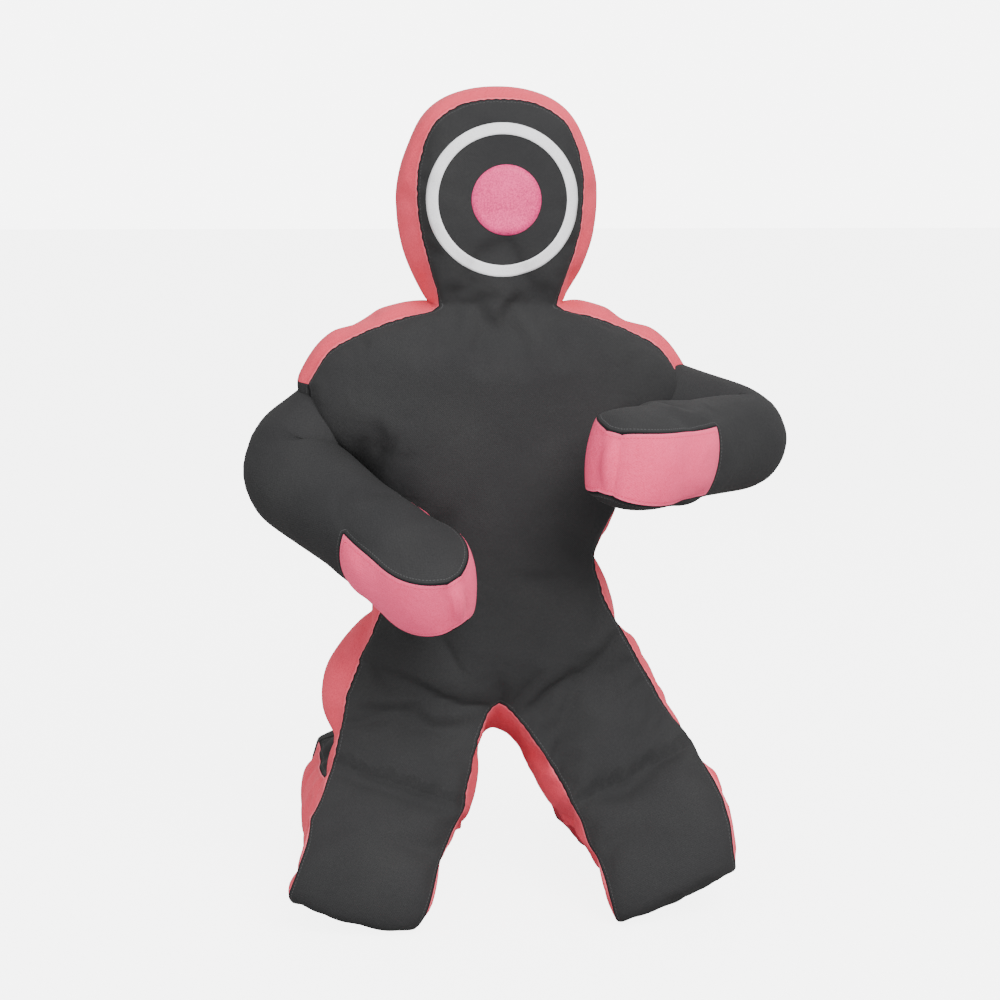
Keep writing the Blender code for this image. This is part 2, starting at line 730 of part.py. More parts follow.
def main():
    root = new_pivot("torso_frame", Vector())
    sockets = {}
    for side in ("right", "left"):
        for joint, pivots, radius in (
            ("shoulder", SHOULDER, SHOULDER_RADIUS),
            ("hip", HIP, HIP_RADIUS),
        ):
            sockets[side, joint] = socket(f"{side}_{joint}_socket", pivots[side], radius)
    build_torso(root, sockets)
    build_zip(root)
    neck = new_pivot("neck_pivot", NECK_PIVOT, root)
    upright = Vector((0, 0, 1))
    add_pad("neck_pad", NECK_PIVOT, upright, NECK_HALF_HEIGHT, NECK_HALF_WIDTH, 2.0, BLACK, neck)
    build_head(neck)
    for side in ("right", "left"):
        build_arm(side, root, sockets[side, "shoulder"])
        build_leg(side, root, sockets[side, "hip"])


main()
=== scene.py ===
import json
import math

import bmesh
import bpy
import numpy as np
from mathutils import Matrix, Vector, geometry, kdtree, noise
from mathutils.bvhtree import BVHTree


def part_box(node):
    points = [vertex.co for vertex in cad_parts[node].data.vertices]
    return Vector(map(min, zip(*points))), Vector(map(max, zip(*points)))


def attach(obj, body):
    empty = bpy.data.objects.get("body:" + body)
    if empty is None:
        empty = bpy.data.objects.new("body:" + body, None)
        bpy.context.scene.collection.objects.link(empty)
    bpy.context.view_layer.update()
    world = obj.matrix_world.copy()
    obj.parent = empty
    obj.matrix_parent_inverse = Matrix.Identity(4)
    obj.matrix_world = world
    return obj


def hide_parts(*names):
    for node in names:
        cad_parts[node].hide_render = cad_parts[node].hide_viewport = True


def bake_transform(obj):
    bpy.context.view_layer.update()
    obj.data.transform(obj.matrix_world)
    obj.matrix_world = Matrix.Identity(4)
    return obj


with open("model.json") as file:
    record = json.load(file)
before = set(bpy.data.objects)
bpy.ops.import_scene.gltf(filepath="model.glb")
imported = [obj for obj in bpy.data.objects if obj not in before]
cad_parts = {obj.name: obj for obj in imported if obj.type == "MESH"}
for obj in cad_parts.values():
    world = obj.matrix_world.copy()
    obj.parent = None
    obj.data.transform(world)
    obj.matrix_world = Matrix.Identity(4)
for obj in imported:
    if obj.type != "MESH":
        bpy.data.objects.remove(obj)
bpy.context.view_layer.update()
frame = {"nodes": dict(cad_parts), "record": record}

# The looks of the kneeling grappling dummy: sewn canvas shells, inflated as cloth, that
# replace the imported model's plain soft solids. Shapes are made in the body's own places
# (metres, +Z up, facing -Y, X = 0 in its middle plane), and SHIFT takes them to the frame.

JOINTS = {joint["name"]: joint for joint in frame["record"]["behaviour"]["joints"]}
SHIFT = Vector((*JOINTS["neck_turn"]["pos_m"][:2], 0.0))
SIDES = {"right": -1, "left": 1}

FRONT, BACK, BAND, DARK = range(4)   # kinds of face; DARK is a band of black canvas
CLOTH_STEP = 0.010                   # spacing of the cloth's points
ACROSS = 16                          # facets across a limb's panel
DEEP = 10                            # facets across a gusset
WALLS = ("front", "back", "inner", "outer")   # the four sides of a limb's ring
NEAR_SEAM = 0.35                     # how much the cloth beside a seam gathers, next to the seam
UP = Vector((0, 0, 1))
DOWN = -UP


def pivot(joint):
    return Vector(JOINTS[joint]["pos_m"]) - SHIFT


def smoothstep(x):
    x = min(max(x, 0.0), 1.0)
    return x * x * (3 - 2 * x)


def mix(a, b, share):
    return a + (b - a) * share


def in_scene(name, data):
    obj = bpy.data.objects.new(name, data)
    bpy.context.scene.collection.objects.link(obj)
    return obj


# ------------------------------------------------------------------ shells of cloth


class Shell:
    """A closed shell of canvas: points, faces of four kinds, weave places and seams.

    The cloth's folds die out at the calm points, by a share, and the still ones are pinned.
    """

    def __init__(self):
        self.points = []
        self.faces = []
        self.kinds = []
        self.weave = {}
        self.seams = []
        self.still = set()
        self.calm = {}

    def add(self, point):
        self.points.append(point.copy())
        return len(self.points) - 1

    def face(self, kind, corners):
        self.faces.append(tuple(corners))
        self.kinds.append(kind)

    def lay(self, kind, vertex, u, v):
        self.weave[kind, vertex] = (u, v)

    def ring(self, place, v):
        """Adds a ring of a limb: a front and a back panel, and a column of gusset on each side.

        The place is (middle of the front, middle of the back, direction across, half width,
        crown of the panels, bulge of the gussets, back's share of the width, edge), where edge is
        how quickly the crown dies at the seams, or None for a plain arch.
        """
        front, back, across, half, crown, bulge, back_share, edge = place
        through = (back - front).normalized()
        rows = {}
        panels = (("front", front, -1, half), ("back", back, 1, half * back_share))
        for name, middle, sign, wide in panels:
            rows[name] = []
            for i in range(ACROSS + 1):
                s = 2 * i / ACROSS - 1
                swell = 1 - math.exp((abs(s) - 1) * half / edge) if edge else 1 - s * s
                point = middle + across * wide * s + through * sign * crown * swell
                rows[name].append(self.add(point))
        for name, end, side in (("inner", 0, -1), ("outer", -1, 1)):
            first, last = rows["front"][end], rows["back"][end]
            rows[name] = [first]
            for i in range(1, DEEP):
                t = i / DEEP
                point = mix(self.points[first], self.points[last], t)
                swell = 1 - (2 * t - 1) ** 2
                rows[name].append(self.add(point + across * side * bulge * swell))
            rows[name].append(last)
        rows["v"] = v
        rows["half"] = half
        rows["depth"] = (back - front).length
        return rows

    def join(self, one, two, band):
        """Quads between two rings. band is the kind of the gussets' faces."""
        kinds = {"front": FRONT, "back": BACK, "inner": band, "outer": band}
        for name, kind in kinds.items():
            for ring in (one, two):
                wide = 2 * ring["half"] if name in ("front", "back") else ring["depth"]
                count = len(ring[name]) - 1
                for i, vertex in enumerate(ring[name]):
                    self.lay(kind, vertex, wide * (i / count - 0.5), ring["v"])
            for i in range(len(one[name]) - 1):
                corners = (one[name][i], one[name][i + 1], two[name][i + 1], two[name][i])
                self.face(kind, corners)

    def close(self, ring, kind, outwards):
        """Fills a ring with a domed grid."""
        grid = [ring["front"]]
        for j in range(1, DEEP):
            start, end = ring["inner"][j], ring["outer"][j]
            row = [start]
            for i in range(1, ACROSS):
                s, t = i / ACROSS, j / DEEP
                top = mix(self.points[ring["front"][i]], self.points[ring["back"][i]], t)
                swell = (1 - (2 * s - 1) ** 2) * (1 - (2 * t - 1) ** 2)
                row.append(self.add(top + outwards * swell))
            grid.append(row + [end])
        grid.append(ring["back"])
        for j, row in enumerate(grid):
            for i, vertex in enumerate(row):
                u = 2 * ring["half"] * (i / ACROSS - 0.5)
                self.lay(kind, vertex, u, ring["v"] + ring["depth"] * j / DEEP)
        for low, high in zip(grid, grid[1:]):
            for i in range(ACROSS):
                self.face(kind, (low[i], low[i + 1], high[i + 1], high[i]))

    def seam_weights(self):
        """For each point, how near it is to a seam (1 on it), for the cloth's shrinking."""
        on_seam = {vertex for seam in self.seams for vertex in seam}
        near = set()
        for face in self.faces:
            if on_seam.intersection(face):
                near.update(face)
        weights = dict.fromkeys(near, NEAR_SEAM) | dict.fromkeys(on_seam, 1.0)
        return [weights.get(i, 0.0) for i in range(len(self.points))]


def mesh_of(shell, name):
    """The shell as a mesh object, with its weave as UVs and its kinds as material slots."""
    mesh = bpy.data.meshes.new(name)
    mesh.from_pydata([tuple(p) for p in shell.points], [], shell.faces)
    for i, kind in enumerate(shell.kinds):
        mesh.polygons[i].material_index = kind
    layer = mesh.uv_layers.new(name="weave")
    for polygon, kind in zip(mesh.polygons, shell.kinds):
        for loop in polygon.loop_indices:
            vertex = mesh.loops[loop].vertex_index
            layer.data[loop].uv = shell.weave.get((kind, vertex), (0.0, 0.0))
    for _ in range(4):
        mesh.materials.append(None)
    bm = bmesh.new()
    bm.from_mesh(mesh)
    bmesh.ops.recalc_face_normals(bm, faces=bm.faces)
    bm.to_mesh(mesh)
    bm.free()
    return in_scene(name, mesh)


KEPT_SIZE = 0.8           # the share of the cloth's broad drift that is taken back
DRIFT_ROUNDS = 40         # rounds of averaging that leave only the broad drift
PRESSURE = 4.0            # of the stuffing on the cloth
CLOTH_FRAMES = 20
BODY_CAP, ARM_CAP = 0.014, 0.008   # the farthest that the cloth may move a point


def broad_part(shell, moves):
    """The smooth part of the cloth's movement: what changes its size, and not its folds."""
    pairs = set()
    for face in shell.faces:
        pairs.update((min(a, b), max(a, b)) for a, b in zip(face, face[1:] + face[:1]))
    one, two = np.array(sorted(pairs)).T
    degree = np.bincount(np.concatenate((one, two)), minlength=len(moves))[:, None]
    smooth = moves.copy()
    for _ in range(DRIFT_ROUNDS):
        total = np.zeros_like(smooth)
        np.add.at(total, one, smooth[two])
        np.add.at(total, two, smooth[one])
        smooth = 0.5 * smooth + 0.5 * total / degree
    return smooth


def inflate(shell, name, cap, shrink=(-0.02, 0.07)):
    """Swells the shell as cloth under pressure, with its seams gathered, and caps the move."""
    obj = mesh_of(shell, name)
    pins = obj.vertex_groups.new(name="pins")
    if shell.still:
        pins.add(sorted(shell.still), 1.0, "REPLACE")
    gather = obj.vertex_groups.new(name="gather")
    for i, weight in enumerate(shell.seam_weights()):
        if weight:
            gather.add([i], weight, "REPLACE")
    cloth = obj.modifiers.new("cloth", "CLOTH")
    settings = cloth.settings
    settings.quality = 6
    settings.mass = 0.25
    settings.tension_stiffness = settings.compression_stiffness = 18
    settings.shear_stiffness = 8
    settings.bending_stiffness = 0.6
    settings.tension_damping = settings.compression_damping = settings.shear_damping = 8
    settings.air_damping = 2
    settings.use_pressure = True
    settings.uniform_pressure_force = PRESSURE
    settings.vertex_group_shrink = "gather"
    settings.shrink_min, settings.shrink_max = shrink
    settings.vertex_group_mass = "pins"
    settings.effector_weights.gravity = 0.0
    cloth.collision_settings.use_collision = False
    scene = bpy.context.scene
    for step in range(1, CLOTH_FRAMES + 1):
        scene.frame_set(step)
    swollen = obj.evaluated_get(bpy.context.evaluated_depsgraph_get())
    result = swollen.to_mesh()
    moves = np.array([tuple(v.co - p) for v, p in zip(result.vertices, shell.points)])
    swollen.to_mesh_clear()
    moves -= KEPT_SIZE * broad_part(shell, moves)
    lengths = np.sqrt((moves ** 2).sum(1))
    moves *= (np.minimum(lengths, cap) / np.maximum(lengths, 1e-9))[:, None]
    for i, share in shell.calm.items():
        moves[i] *= 1 - share
    for i, move in enumerate(moves):
        if i not in shell.still:
            shell.points[i] = shell.points[i] + Vector(move)
    mesh = obj.data
    bpy.data.objects.remove(obj, do_unlink=True)
    bpy.data.meshes.remove(mesh)
    scene.frame_set(1)


def seam_tree(shell):
    """Points every 2 mm along the seams, each with its distance along the seam."""
    samples = []
    for seam in shell.seams:
        along = 0.0
        for a, b in zip(seam, seam[1:]):
            start, end = shell.points[a], shell.points[b]
            length = (end - start).length
            count = max(1, round(length / 0.002))
            for i in range(count):
                samples.append((mix(start, end, i / count), along + length * i / count))
            along += length
    tree = kdtree.KDTree(len(samples))
    for i, (point, _) in enumerate(samples):
        tree.insert(point, i)
    tree.balance()
    return tree, samples


def finished(shell, name):
    """The shell as a smooth bmesh, with seam places, split at its seams, with true normals."""
    tree, samples = seam_tree(shell)
    obj = mesh_of(shell, name)
    for label in ("seam", "along"):
        obj.data.attributes.new(label, "FLOAT", "POINT")
    seam, along = [], []
    for point in shell.points:
        _, index, distance = tree.find(point)
        seam.append(distance)
        along.append(samples[index][1])
    obj.data.attributes["seam"].data.foreach_set("value", seam)
    obj.data.attributes["along"].data.foreach_set("value", along)
    smooth = obj.modifiers.new("smooth", "SUBSURF")
    smooth.levels = smooth.render_levels = 1
    graph = bpy.context.evaluated_depsgraph_get()
    mesh = bpy.data.meshes.new_from_object(obj.evaluated_get(graph))
    bm = bmesh.new()
    bm.from_mesh(mesh)
    rims = []
    for edge in bm.edges:
        kinds = {face.material_index for face in edge.link_faces}
        if len(kinds) > 1 and BAND in kinds:
            rims.append(edge)
    bmesh.ops.split_edges(bm, edges=rims)
    bm.normal_update()
    normal = bm.verts.layers.float_vector.new("true_normal")
    for vert in bm.verts:
        vert[normal] = vert.normal
    bpy.data.objects.remove(obj, do_unlink=True)
    bpy.data.meshes.remove(mesh)
    return bm


def cut_piece(whole, name, kinds, planes, material):
    """A piece of a finished shell: the faces of some kinds, on the inner side of each plane."""
    bm = whole.copy()
    unwanted = [face for face in bm.faces if face.material_index not in kinds]
    bmesh.ops.delete(bm, geom=unwanted, context="FACES")
    for point, outwards in planes:
        bmesh.ops.bisect_plane(
            bm,
            geom=bm.verts[:] + bm.edges[:] + bm.faces[:],
            dist=1e-6,
            plane_co=point,
            plane_no=outwards,
            clear_outer=True,
        )
    for face in bm.faces:
        face.material_index = 0
        face.smooth = True
    layer = bm.verts.layers.float_vector["true_normal"]
    normals = [vert[layer].normalized() for vert in bm.verts]
    bmesh.ops.translate(bm, verts=bm.verts, vec=SHIFT)
    mesh = bpy.data.meshes.new(name)
    bm.to_mesh(mesh)
    bm.free()
    mesh.materials.clear()
    mesh.materials.append(material)
    mesh.normals_split_custom_set_from_vertices(normals)
    return in_scene(name, mesh)


# ------------------------------------------------------------------ the body's pattern

SEAM_DEPTH = 0.066        # from the middle plane to the torso's and the head's seams
SHOULDER_DEPTH = 0.046    # the same at the ends of the shoulders
LEG_DEPTH = 0.050         # half of a leg's gusset
LEAN = math.radians(30)   # how far the front of a thigh leans forwards
LEAN_TOP, LEAN_FULL = 0.36, 0.20
THROUGH_LEAN = 1.1        # the gusset's own lean, as a share of the front's

HEAD_RUN = (
    (-0.072, 0.747), (-0.085, 0.770), (-0.098, 0.801), (-0.1065, 0.836), (-0.1095, 0.875),
    (-0.1055, 0.916), (-0.0905, 0.954), (-0.0645, 0.980), (-0.033, 0.992), (0.0, 0.995),
)
HEAD_ASIDE = 0.004        # the head's lean to its own left
SHOULDER_RUN = ((0.072, 0.747), (0.092, 0.741), (0.127, 0.733), (0.174, 0.714), (0.210, 0.692),
                (0.236, 0.652))
ARMHOLE_RUN = ((0.236, 0.652), (0.233, 0.612), (0.208, 0.566), (0.178, 0.532))
FLANK_RUN = {
    "right": ((0.178, 0.532), (0.162, 0.500), (0.144, 0.467), (0.130, 0.437), (0.134, 0.405),
              (0.152, 0.368), (0.172, 0.310), (0.190, 0.255), (0.208, 0.187)),
    "left": ((0.178, 0.532), (0.159, 0.500), (0.140, 0.467), (0.124, 0.430), (0.132, 0.390),
             (0.150, 0.345), (0.174, 0.300), (0.203, 0.257), (0.250, 0.200)),
}
INSIDE_RUN = {
    "right": ((0.0, 0.245), (0.014, 0.238), (0.026, 0.211), (0.036, 0.172), (0.044, 0.133)),
    "left": ((0.0, 0.245), (0.020, 0.237), (0.040, 0.212), (0.062, 0.175), (0.087, 0.133)),
}
GUSSET_SWELL = 0.003      # how far a gusset swells past its seams
CROWN_SWELL = 0.013       # the same over the head
SHOULDER_SWELL = 0.009    # and over the shoulders
HIP_SWELL = {"right": 0.036, "left": 0.010}   # and beside the hips, where the filling slumps
LEG_EDGE = 0.030          # how quickly a panel's swell dies at its seams
PUCKER = 0.004            # how far the legs' seams wander as they pucker
PUCKER_RATE = 34.0        # how many times in a metre


def lengths_along(path):
    lengths = [0.0]
    for a, b in zip(path, path[1:]):
        lengths.append(lengths[-1] + (b - a).length)
    return lengths


def place_on(path, lengths, reach):
    """The point at a distance along a path, kept between its ends."""
    reach = min(max(reach, 0.0), lengths[-1])
    j = 0
    while j < len(lengths) - 2 and lengths[j + 1] < reach:
        j += 1
    share = (reach - lengths[j]) / max(1e-9, lengths[j + 1] - lengths[j])
    return mix(path[j], path[j + 1], share)


def curve_through(points, step, count=None):
    """Points evenly along a smooth curve through the given ones."""
    points = [Vector(p) for p in points]
    ends = [points[0] * 2 - points[1]] + points + [points[-1] * 2 - points[-2]]
    dense = []
    for a, b, c, d in zip(ends, ends[1:], ends[2:], ends[3:]):
        for i in range(16):
            t = i / 16
            dense.append(
                0.5 * (2 * b + (c - a) * t + (2 * a - 5 * b + 4 * c - d) * t * t
                       + (3 * b - a - 3 * c + d) * t ** 3)
            )
    dense.append(points[-1])
    lengths = lengths_along(dense)
    count = count or max(2, round(lengths[-1] / step))
    return [place_on(dense, lengths, lengths[-1] * i / count) for i in range(count + 1)]


def lean_at(z):
    return LEAN * smoothstep((LEAN_TOP - z) / (LEAN_TOP - LEAN_FULL))


LEAN_STEPS = 400
LEAN_TABLE = [0.0]
for step in range(LEAN_STEPS):
    level = LEAN_TOP * (1 - (step + 0.5) / LEAN_STEPS)
    LEAN_TABLE.append(LEAN_TABLE[-1] + math.tan(lean_at(level)) * LEAN_TOP / LEAN_STEPS)


def lean_y(z):
    """How far forwards the front seam is of where it would be if the dummy stood straight."""
    place = min(max((LEAN_TOP - z) / LEAN_TOP * LEAN_STEPS, 0.0), LEAN_STEPS - 1e-6)
    index = int(place)
    return mix(LEAN_TABLE[index], LEAN_TABLE[index + 1], place - index)


def half_depth(x, z):
    torso = mix(SEAM_DEPTH, SHOULDER_DEPTH, smoothstep((abs(x) - 0.10) / 0.11) if z > 0.5 else 0.0)
    return mix(torso, LEG_DEPTH, smoothstep((0.36 - z) / 0.18))


def crown_at(z):
    torso = mix(0.030, 0.021, smoothstep((z - 0.70) / 0.06))
    return mix(torso, 0.016, smoothstep((0.34 - z) / 0.14))


def front_place(x, z):
    aside = HEAD_ASIDE * smoothstep((z - 0.74) / 0.10)
    return Vector((x + aside, -half_depth(x, z) - lean_y(z), z))


def through_at(z):
    angle = lean_at(z) * THROUGH_LEAN
    return Vector((0.0, math.cos(angle), -math.sin(angle)))


def swell_at(place):
    """How far the gusset swells at a place on the front seam."""
    beside = smoothstep((abs(place.x) - 0.10) / 0.05) * smoothstep(1 - abs(place.y - 0.282) / 0.080)
    hip = HIP_SWELL["left" if place.x > 0 else "right"]
    over = smoothstep((place.y - 0.92) / 0.06)
    shoulder = smoothstep((abs(place.x) - 0.08) / 0.03) * smoothstep((place.y - 0.63) / 0.03)
    swell = mix(GUSSET_SWELL, CROWN_SWELL, over)
    return mix(mix(swell, SHOULDER_SWELL, shoulder * (1 - over)), hip, beside)


def pucker(along, side):
    """How far in or out a seam wanders at a distance along it, about -1 to 1."""
    place = Vector((along * PUCKER_RATE, side * 5.3, 0.7))
    return 1.5 * noise.noise(place) + 0.6 * noise.noise(place * 0.45)


def puckered(points):
    """A flank's run with its seam wandering in and out beside the hip and the thigh."""
    found = []
    for x, z in points:
        loose = smoothstep((0.40 - z) / 0.08) * smoothstep((z - 0.19) / 0.03)
        side = 1 if x > 0 else -1
        found.append(Vector((x + side * PUCKER * pucker(z, side) * loose, z)))
    return found


def mirrored(run):
    return [(-x, z) for x, z in run]


def side_runs(side):
    """One side's runs of the front seam, from the neck to the crotch, as if it was the left."""
    flank, inside = FLANK_RUN[side], INSIDE_RUN[side]
    return [("band", SHOULDER_RUN), ("dark", ARMHOLE_RUN), ("flank", flank),
            (f"{side}_leg", (flank[-1], inside[-1])), ("band", inside[::-1])]


def outline():
    """The front seam's runs, all the way round, as a list of (kind, points)."""
    runs = [("head", list(HEAD_RUN) + mirrored(HEAD_RUN[-2::-1]))] + side_runs("left")
    runs += [(kind, mirrored(run)[::-1]) for kind, run in side_runs("right")[::-1]]
    found = []
    for kind, run in runs:
        points = curve_through(run, CLOTH_STEP, ACROSS if kind.endswith("_leg") else None)
        found.append(("band", puckered(points)) if kind == "flank" else (kind, points))
    return found


def triangulated(rim):
    """The sheet's places and triangles inside the rim, and the place that each rim point gives."""
    ring = np.array([tuple(p) for p in rim])
    low, high = ring.min(0), ring.max(0)
    row_step = CLOTH_STEP * math.sqrt(3) / 2
    inside = []
    for j in range(int((high[1] - low[1]) / row_step) + 1):
        for i in range(int((high[0] - low[0]) / CLOTH_STEP) + 2):
            x = low[0] + (i + 0.5 * (j % 2)) * CLOTH_STEP
            z = low[1] + j * row_step
            if within(x, z, ring) and rim_distance(x, z, ring) > 0.62 * CLOTH_STEP:
                inside.append(Vector((x, z)))
    count = len(rim)
    edges = [(i, (i + 1) % count) for i in range(count)]
    found = geometry.delaunay_2d_cdt(rim + inside, edges, [list(range(count))], 1, 1e-7)
    places, _, triangles, origins = found[:4]
    place_of = {}
    for i, origin in enumerate(origins):
        for source in origin:
            place_of[source] = i
    return places, triangles, place_of


def body_shell():
    """The body's cloth down to the legs' open ends, and the ring of points at each of those."""
    shell = Shell()
    rim, spans, open_ends = [], [], set()
    for kind, points in outline():
        start, length = len(rim), len(points) - 1
        spans.append((kind, start, length))
        rim.extend(points[:-1])
        if kind.endswith("_leg"):
            open_ends.update(range(start + 1, start + length))
    count = len(rim)
    sewn = np.array([tuple(p) for i, p in enumerate(rim) if i not in open_ends])
    places, triangles, place_of = triangulated(rim)

    sheets = {}
    for kind, sign in ((FRONT, -1), (BACK, 1)):
        sheet = []
        for place in places:
            x, z = place
            point = front_place(x, z)
            through = through_at(z)
            if sign > 0:
                point += through * 2 * half_depth(x, z)
            reach = rim_distance(x, z, sewn)
            point += through * sign * crown_at(z) * (1 - math.exp(-reach / LEG_EDGE))
            vertex = shell.add(point)
            shell.lay(kind, vertex, x, z)
            sheet.append(vertex)
        for triangle in triangles:
            shell.face(kind, [sheet[i] for i in triangle])
        sheets[kind] = sheet

    columns, along = [], 0.0
    for i in range(count):
        before, after = rim[i - 1], rim[(i + 1) % count]
        tangent = (after - before).normalized()
        outwards = Vector((-tangent.y, 0.0, tangent.x))
        first, last = sheets[FRONT][place_of[i]], sheets[BACK][place_of[i]]
        column = [first]
        for j in range(1, DEEP if i not in open_ends else 1):
            t = j / DEEP
            swell = swell_at(rim[i]) * (1 - (2 * t - 1) ** 2)
            level = mix(shell.points[first], shell.points[last], t)
            column.append(shell.add(level + outwards * swell))
        column.append(last)
        along += (rim[i] - before).length
        for j, vertex in enumerate(column):
            for kind in (BAND, DARK):
                shell.lay(kind, vertex, along, 2 * SEAM_DEPTH * (j / DEEP - 0.5))
        columns.append(column)

    legs = {}
    for kind, start, length in spans:
        loop = [(start + i) % count for i in range(length + 1)]
        if kind.endswith("_leg"):
            order = loop if kind == "right_leg" else loop[::-1]
            legs[kind[:-4]] = {
                "front": [columns[i][0] for i in order],
                "back": [columns[i][-1] for i in order],
                "inner": columns[order[0]],
                "outer": columns[order[-1]],
            }
            continue
        faces = DARK if kind == "dark" else BAND
        for a, b in zip(loop, loop[1:]):
            for j in range(DEEP):
                corners = (columns[a][j], columns[b][j], columns[b][j + 1], columns[a][j + 1])
                shell.face(faces, corners)
        for row in (0, -1):
            shell.seams.append([columns[i][row] for i in loop])
    return shell, legs


def within(x, z, ring):
    """Whether a place is inside the outline: crossings of a line to its right are odd."""
    x1, z1 = ring[:, 0], ring[:, 1]
    x2, z2 = np.roll(x1, -1), np.roll(z1, -1)
    spans = (z1 > z) != (z2 > z)
    with np.errstate(divide="ignore", invalid="ignore"):
        cross = x1 + (z - z1) * (x2 - x1) / (z2 - z1)
    return bool(np.count_nonzero(spans & (x < cross)) % 2)


def rim_distance(x, z, ring):
    return float(np.sqrt(((ring - (x, z)) ** 2).sum(1).min()))


# ------------------------------------------------------------------ legs

KNEE_CORNER = {"right": 0.052, "left": 0.040}   # how far its edge stands out past a round knee
KNEE_DROP = 0.012         # how far that edge hangs under the knee
KNEE_HALF = {"right": 0.089, "left": 0.092}     # half of the panel's width above the knee
CORNER_HALF = {"right": 0.082, "left": 0.084}   # and at the knee's edge
KNEE_ASIDE = {"right": 0.008, "left": 0.011}    # both legs' knees lie this far to the left
CORNER_ASIDE = {"right": 0.003, "left": 0.000}
SHIN_HALF, FOOT_HALF = 0.073, 0.072
THIGH_CROWN, CORNER_CROWN, SHIN_CROWN = 0.015, 0.007, 0.014   # the swell of the panels
THIGH_BULGE, SHIN_BULGE, FOOT_BULGE = 0.001, 0.012, 0.010     # the swell of the gussets
REAR_SHARE = 0.85         # a leg's back panel is narrower than its front
KNEE_SEAM = 0.60          # where, round the knee, the front panel ends at a seam
CREASE = 0.0245           # from the knee's pivot to the bottom of the fold behind it
FOLD_GAP = 0.0015         # from the fold's middle to the cloth on each side of it
TOE = {"right": Vector((-0.151, 0.290, 0.067)), "left": Vector((0.173, 0.290, 0.067))}
FOOT_DEPTH = 0.067        # half of the foot's height, without its swell
FOOT = 0.080              # the length of its rounded end
FOOT_ANGLES = (18, 36, 52, 66, 78)         # where, round that end, its rings lie
FOOT_RINGS = len(FOOT_ANGLES)


class Fold:
    """The fold between a thigh and its shin: the plane where the two press together."""

    def __init__(self, side):
        self.knee = pivot(f"{side}_knee")
        self.hip = pivot(f"{side}_hip_swing")
        self.toe = TOE[side]
        self.up_thigh = (self.hip - self.knee).normalized()
        self.shin = (self.toe - self.knee).normalized()
        self.into = (self.up_thigh + self.shin).normalized()
        self.over = (self.shin - self.up_thigh).normalized()
        axis = Vector(JOINTS[f"{side}_knee"]["axis"])
        self.outwards = (axis if axis.x * SIDES[side] > 0 else -axis).normalized()
        self.thigh_through = self.square(self.up_thigh, back=True)
        self.shin_through = self.square(self.shin, back=False)

    def square(self, along, back):
        """The thickness direction of the thigh (backwards) or of the shin (upwards)."""
        found = along.cross(self.outwards).normalized()
        wanted = found.y if back else found.z
        return found if wanted > 0 else -found

    def keep(self, point, side):
        """Keeps a point on its own side of the fold: -1 is the thigh's, 1 the shin's."""
        reach = (point - self.knee).dot(self.over)
        short = FOLD_GAP - reach * side
        return point + self.over * side * short if short > 0 else point


def keep_off_floor(point, level=0.0012):
    return Vector((point.x, point.y, max(point.z, level)))


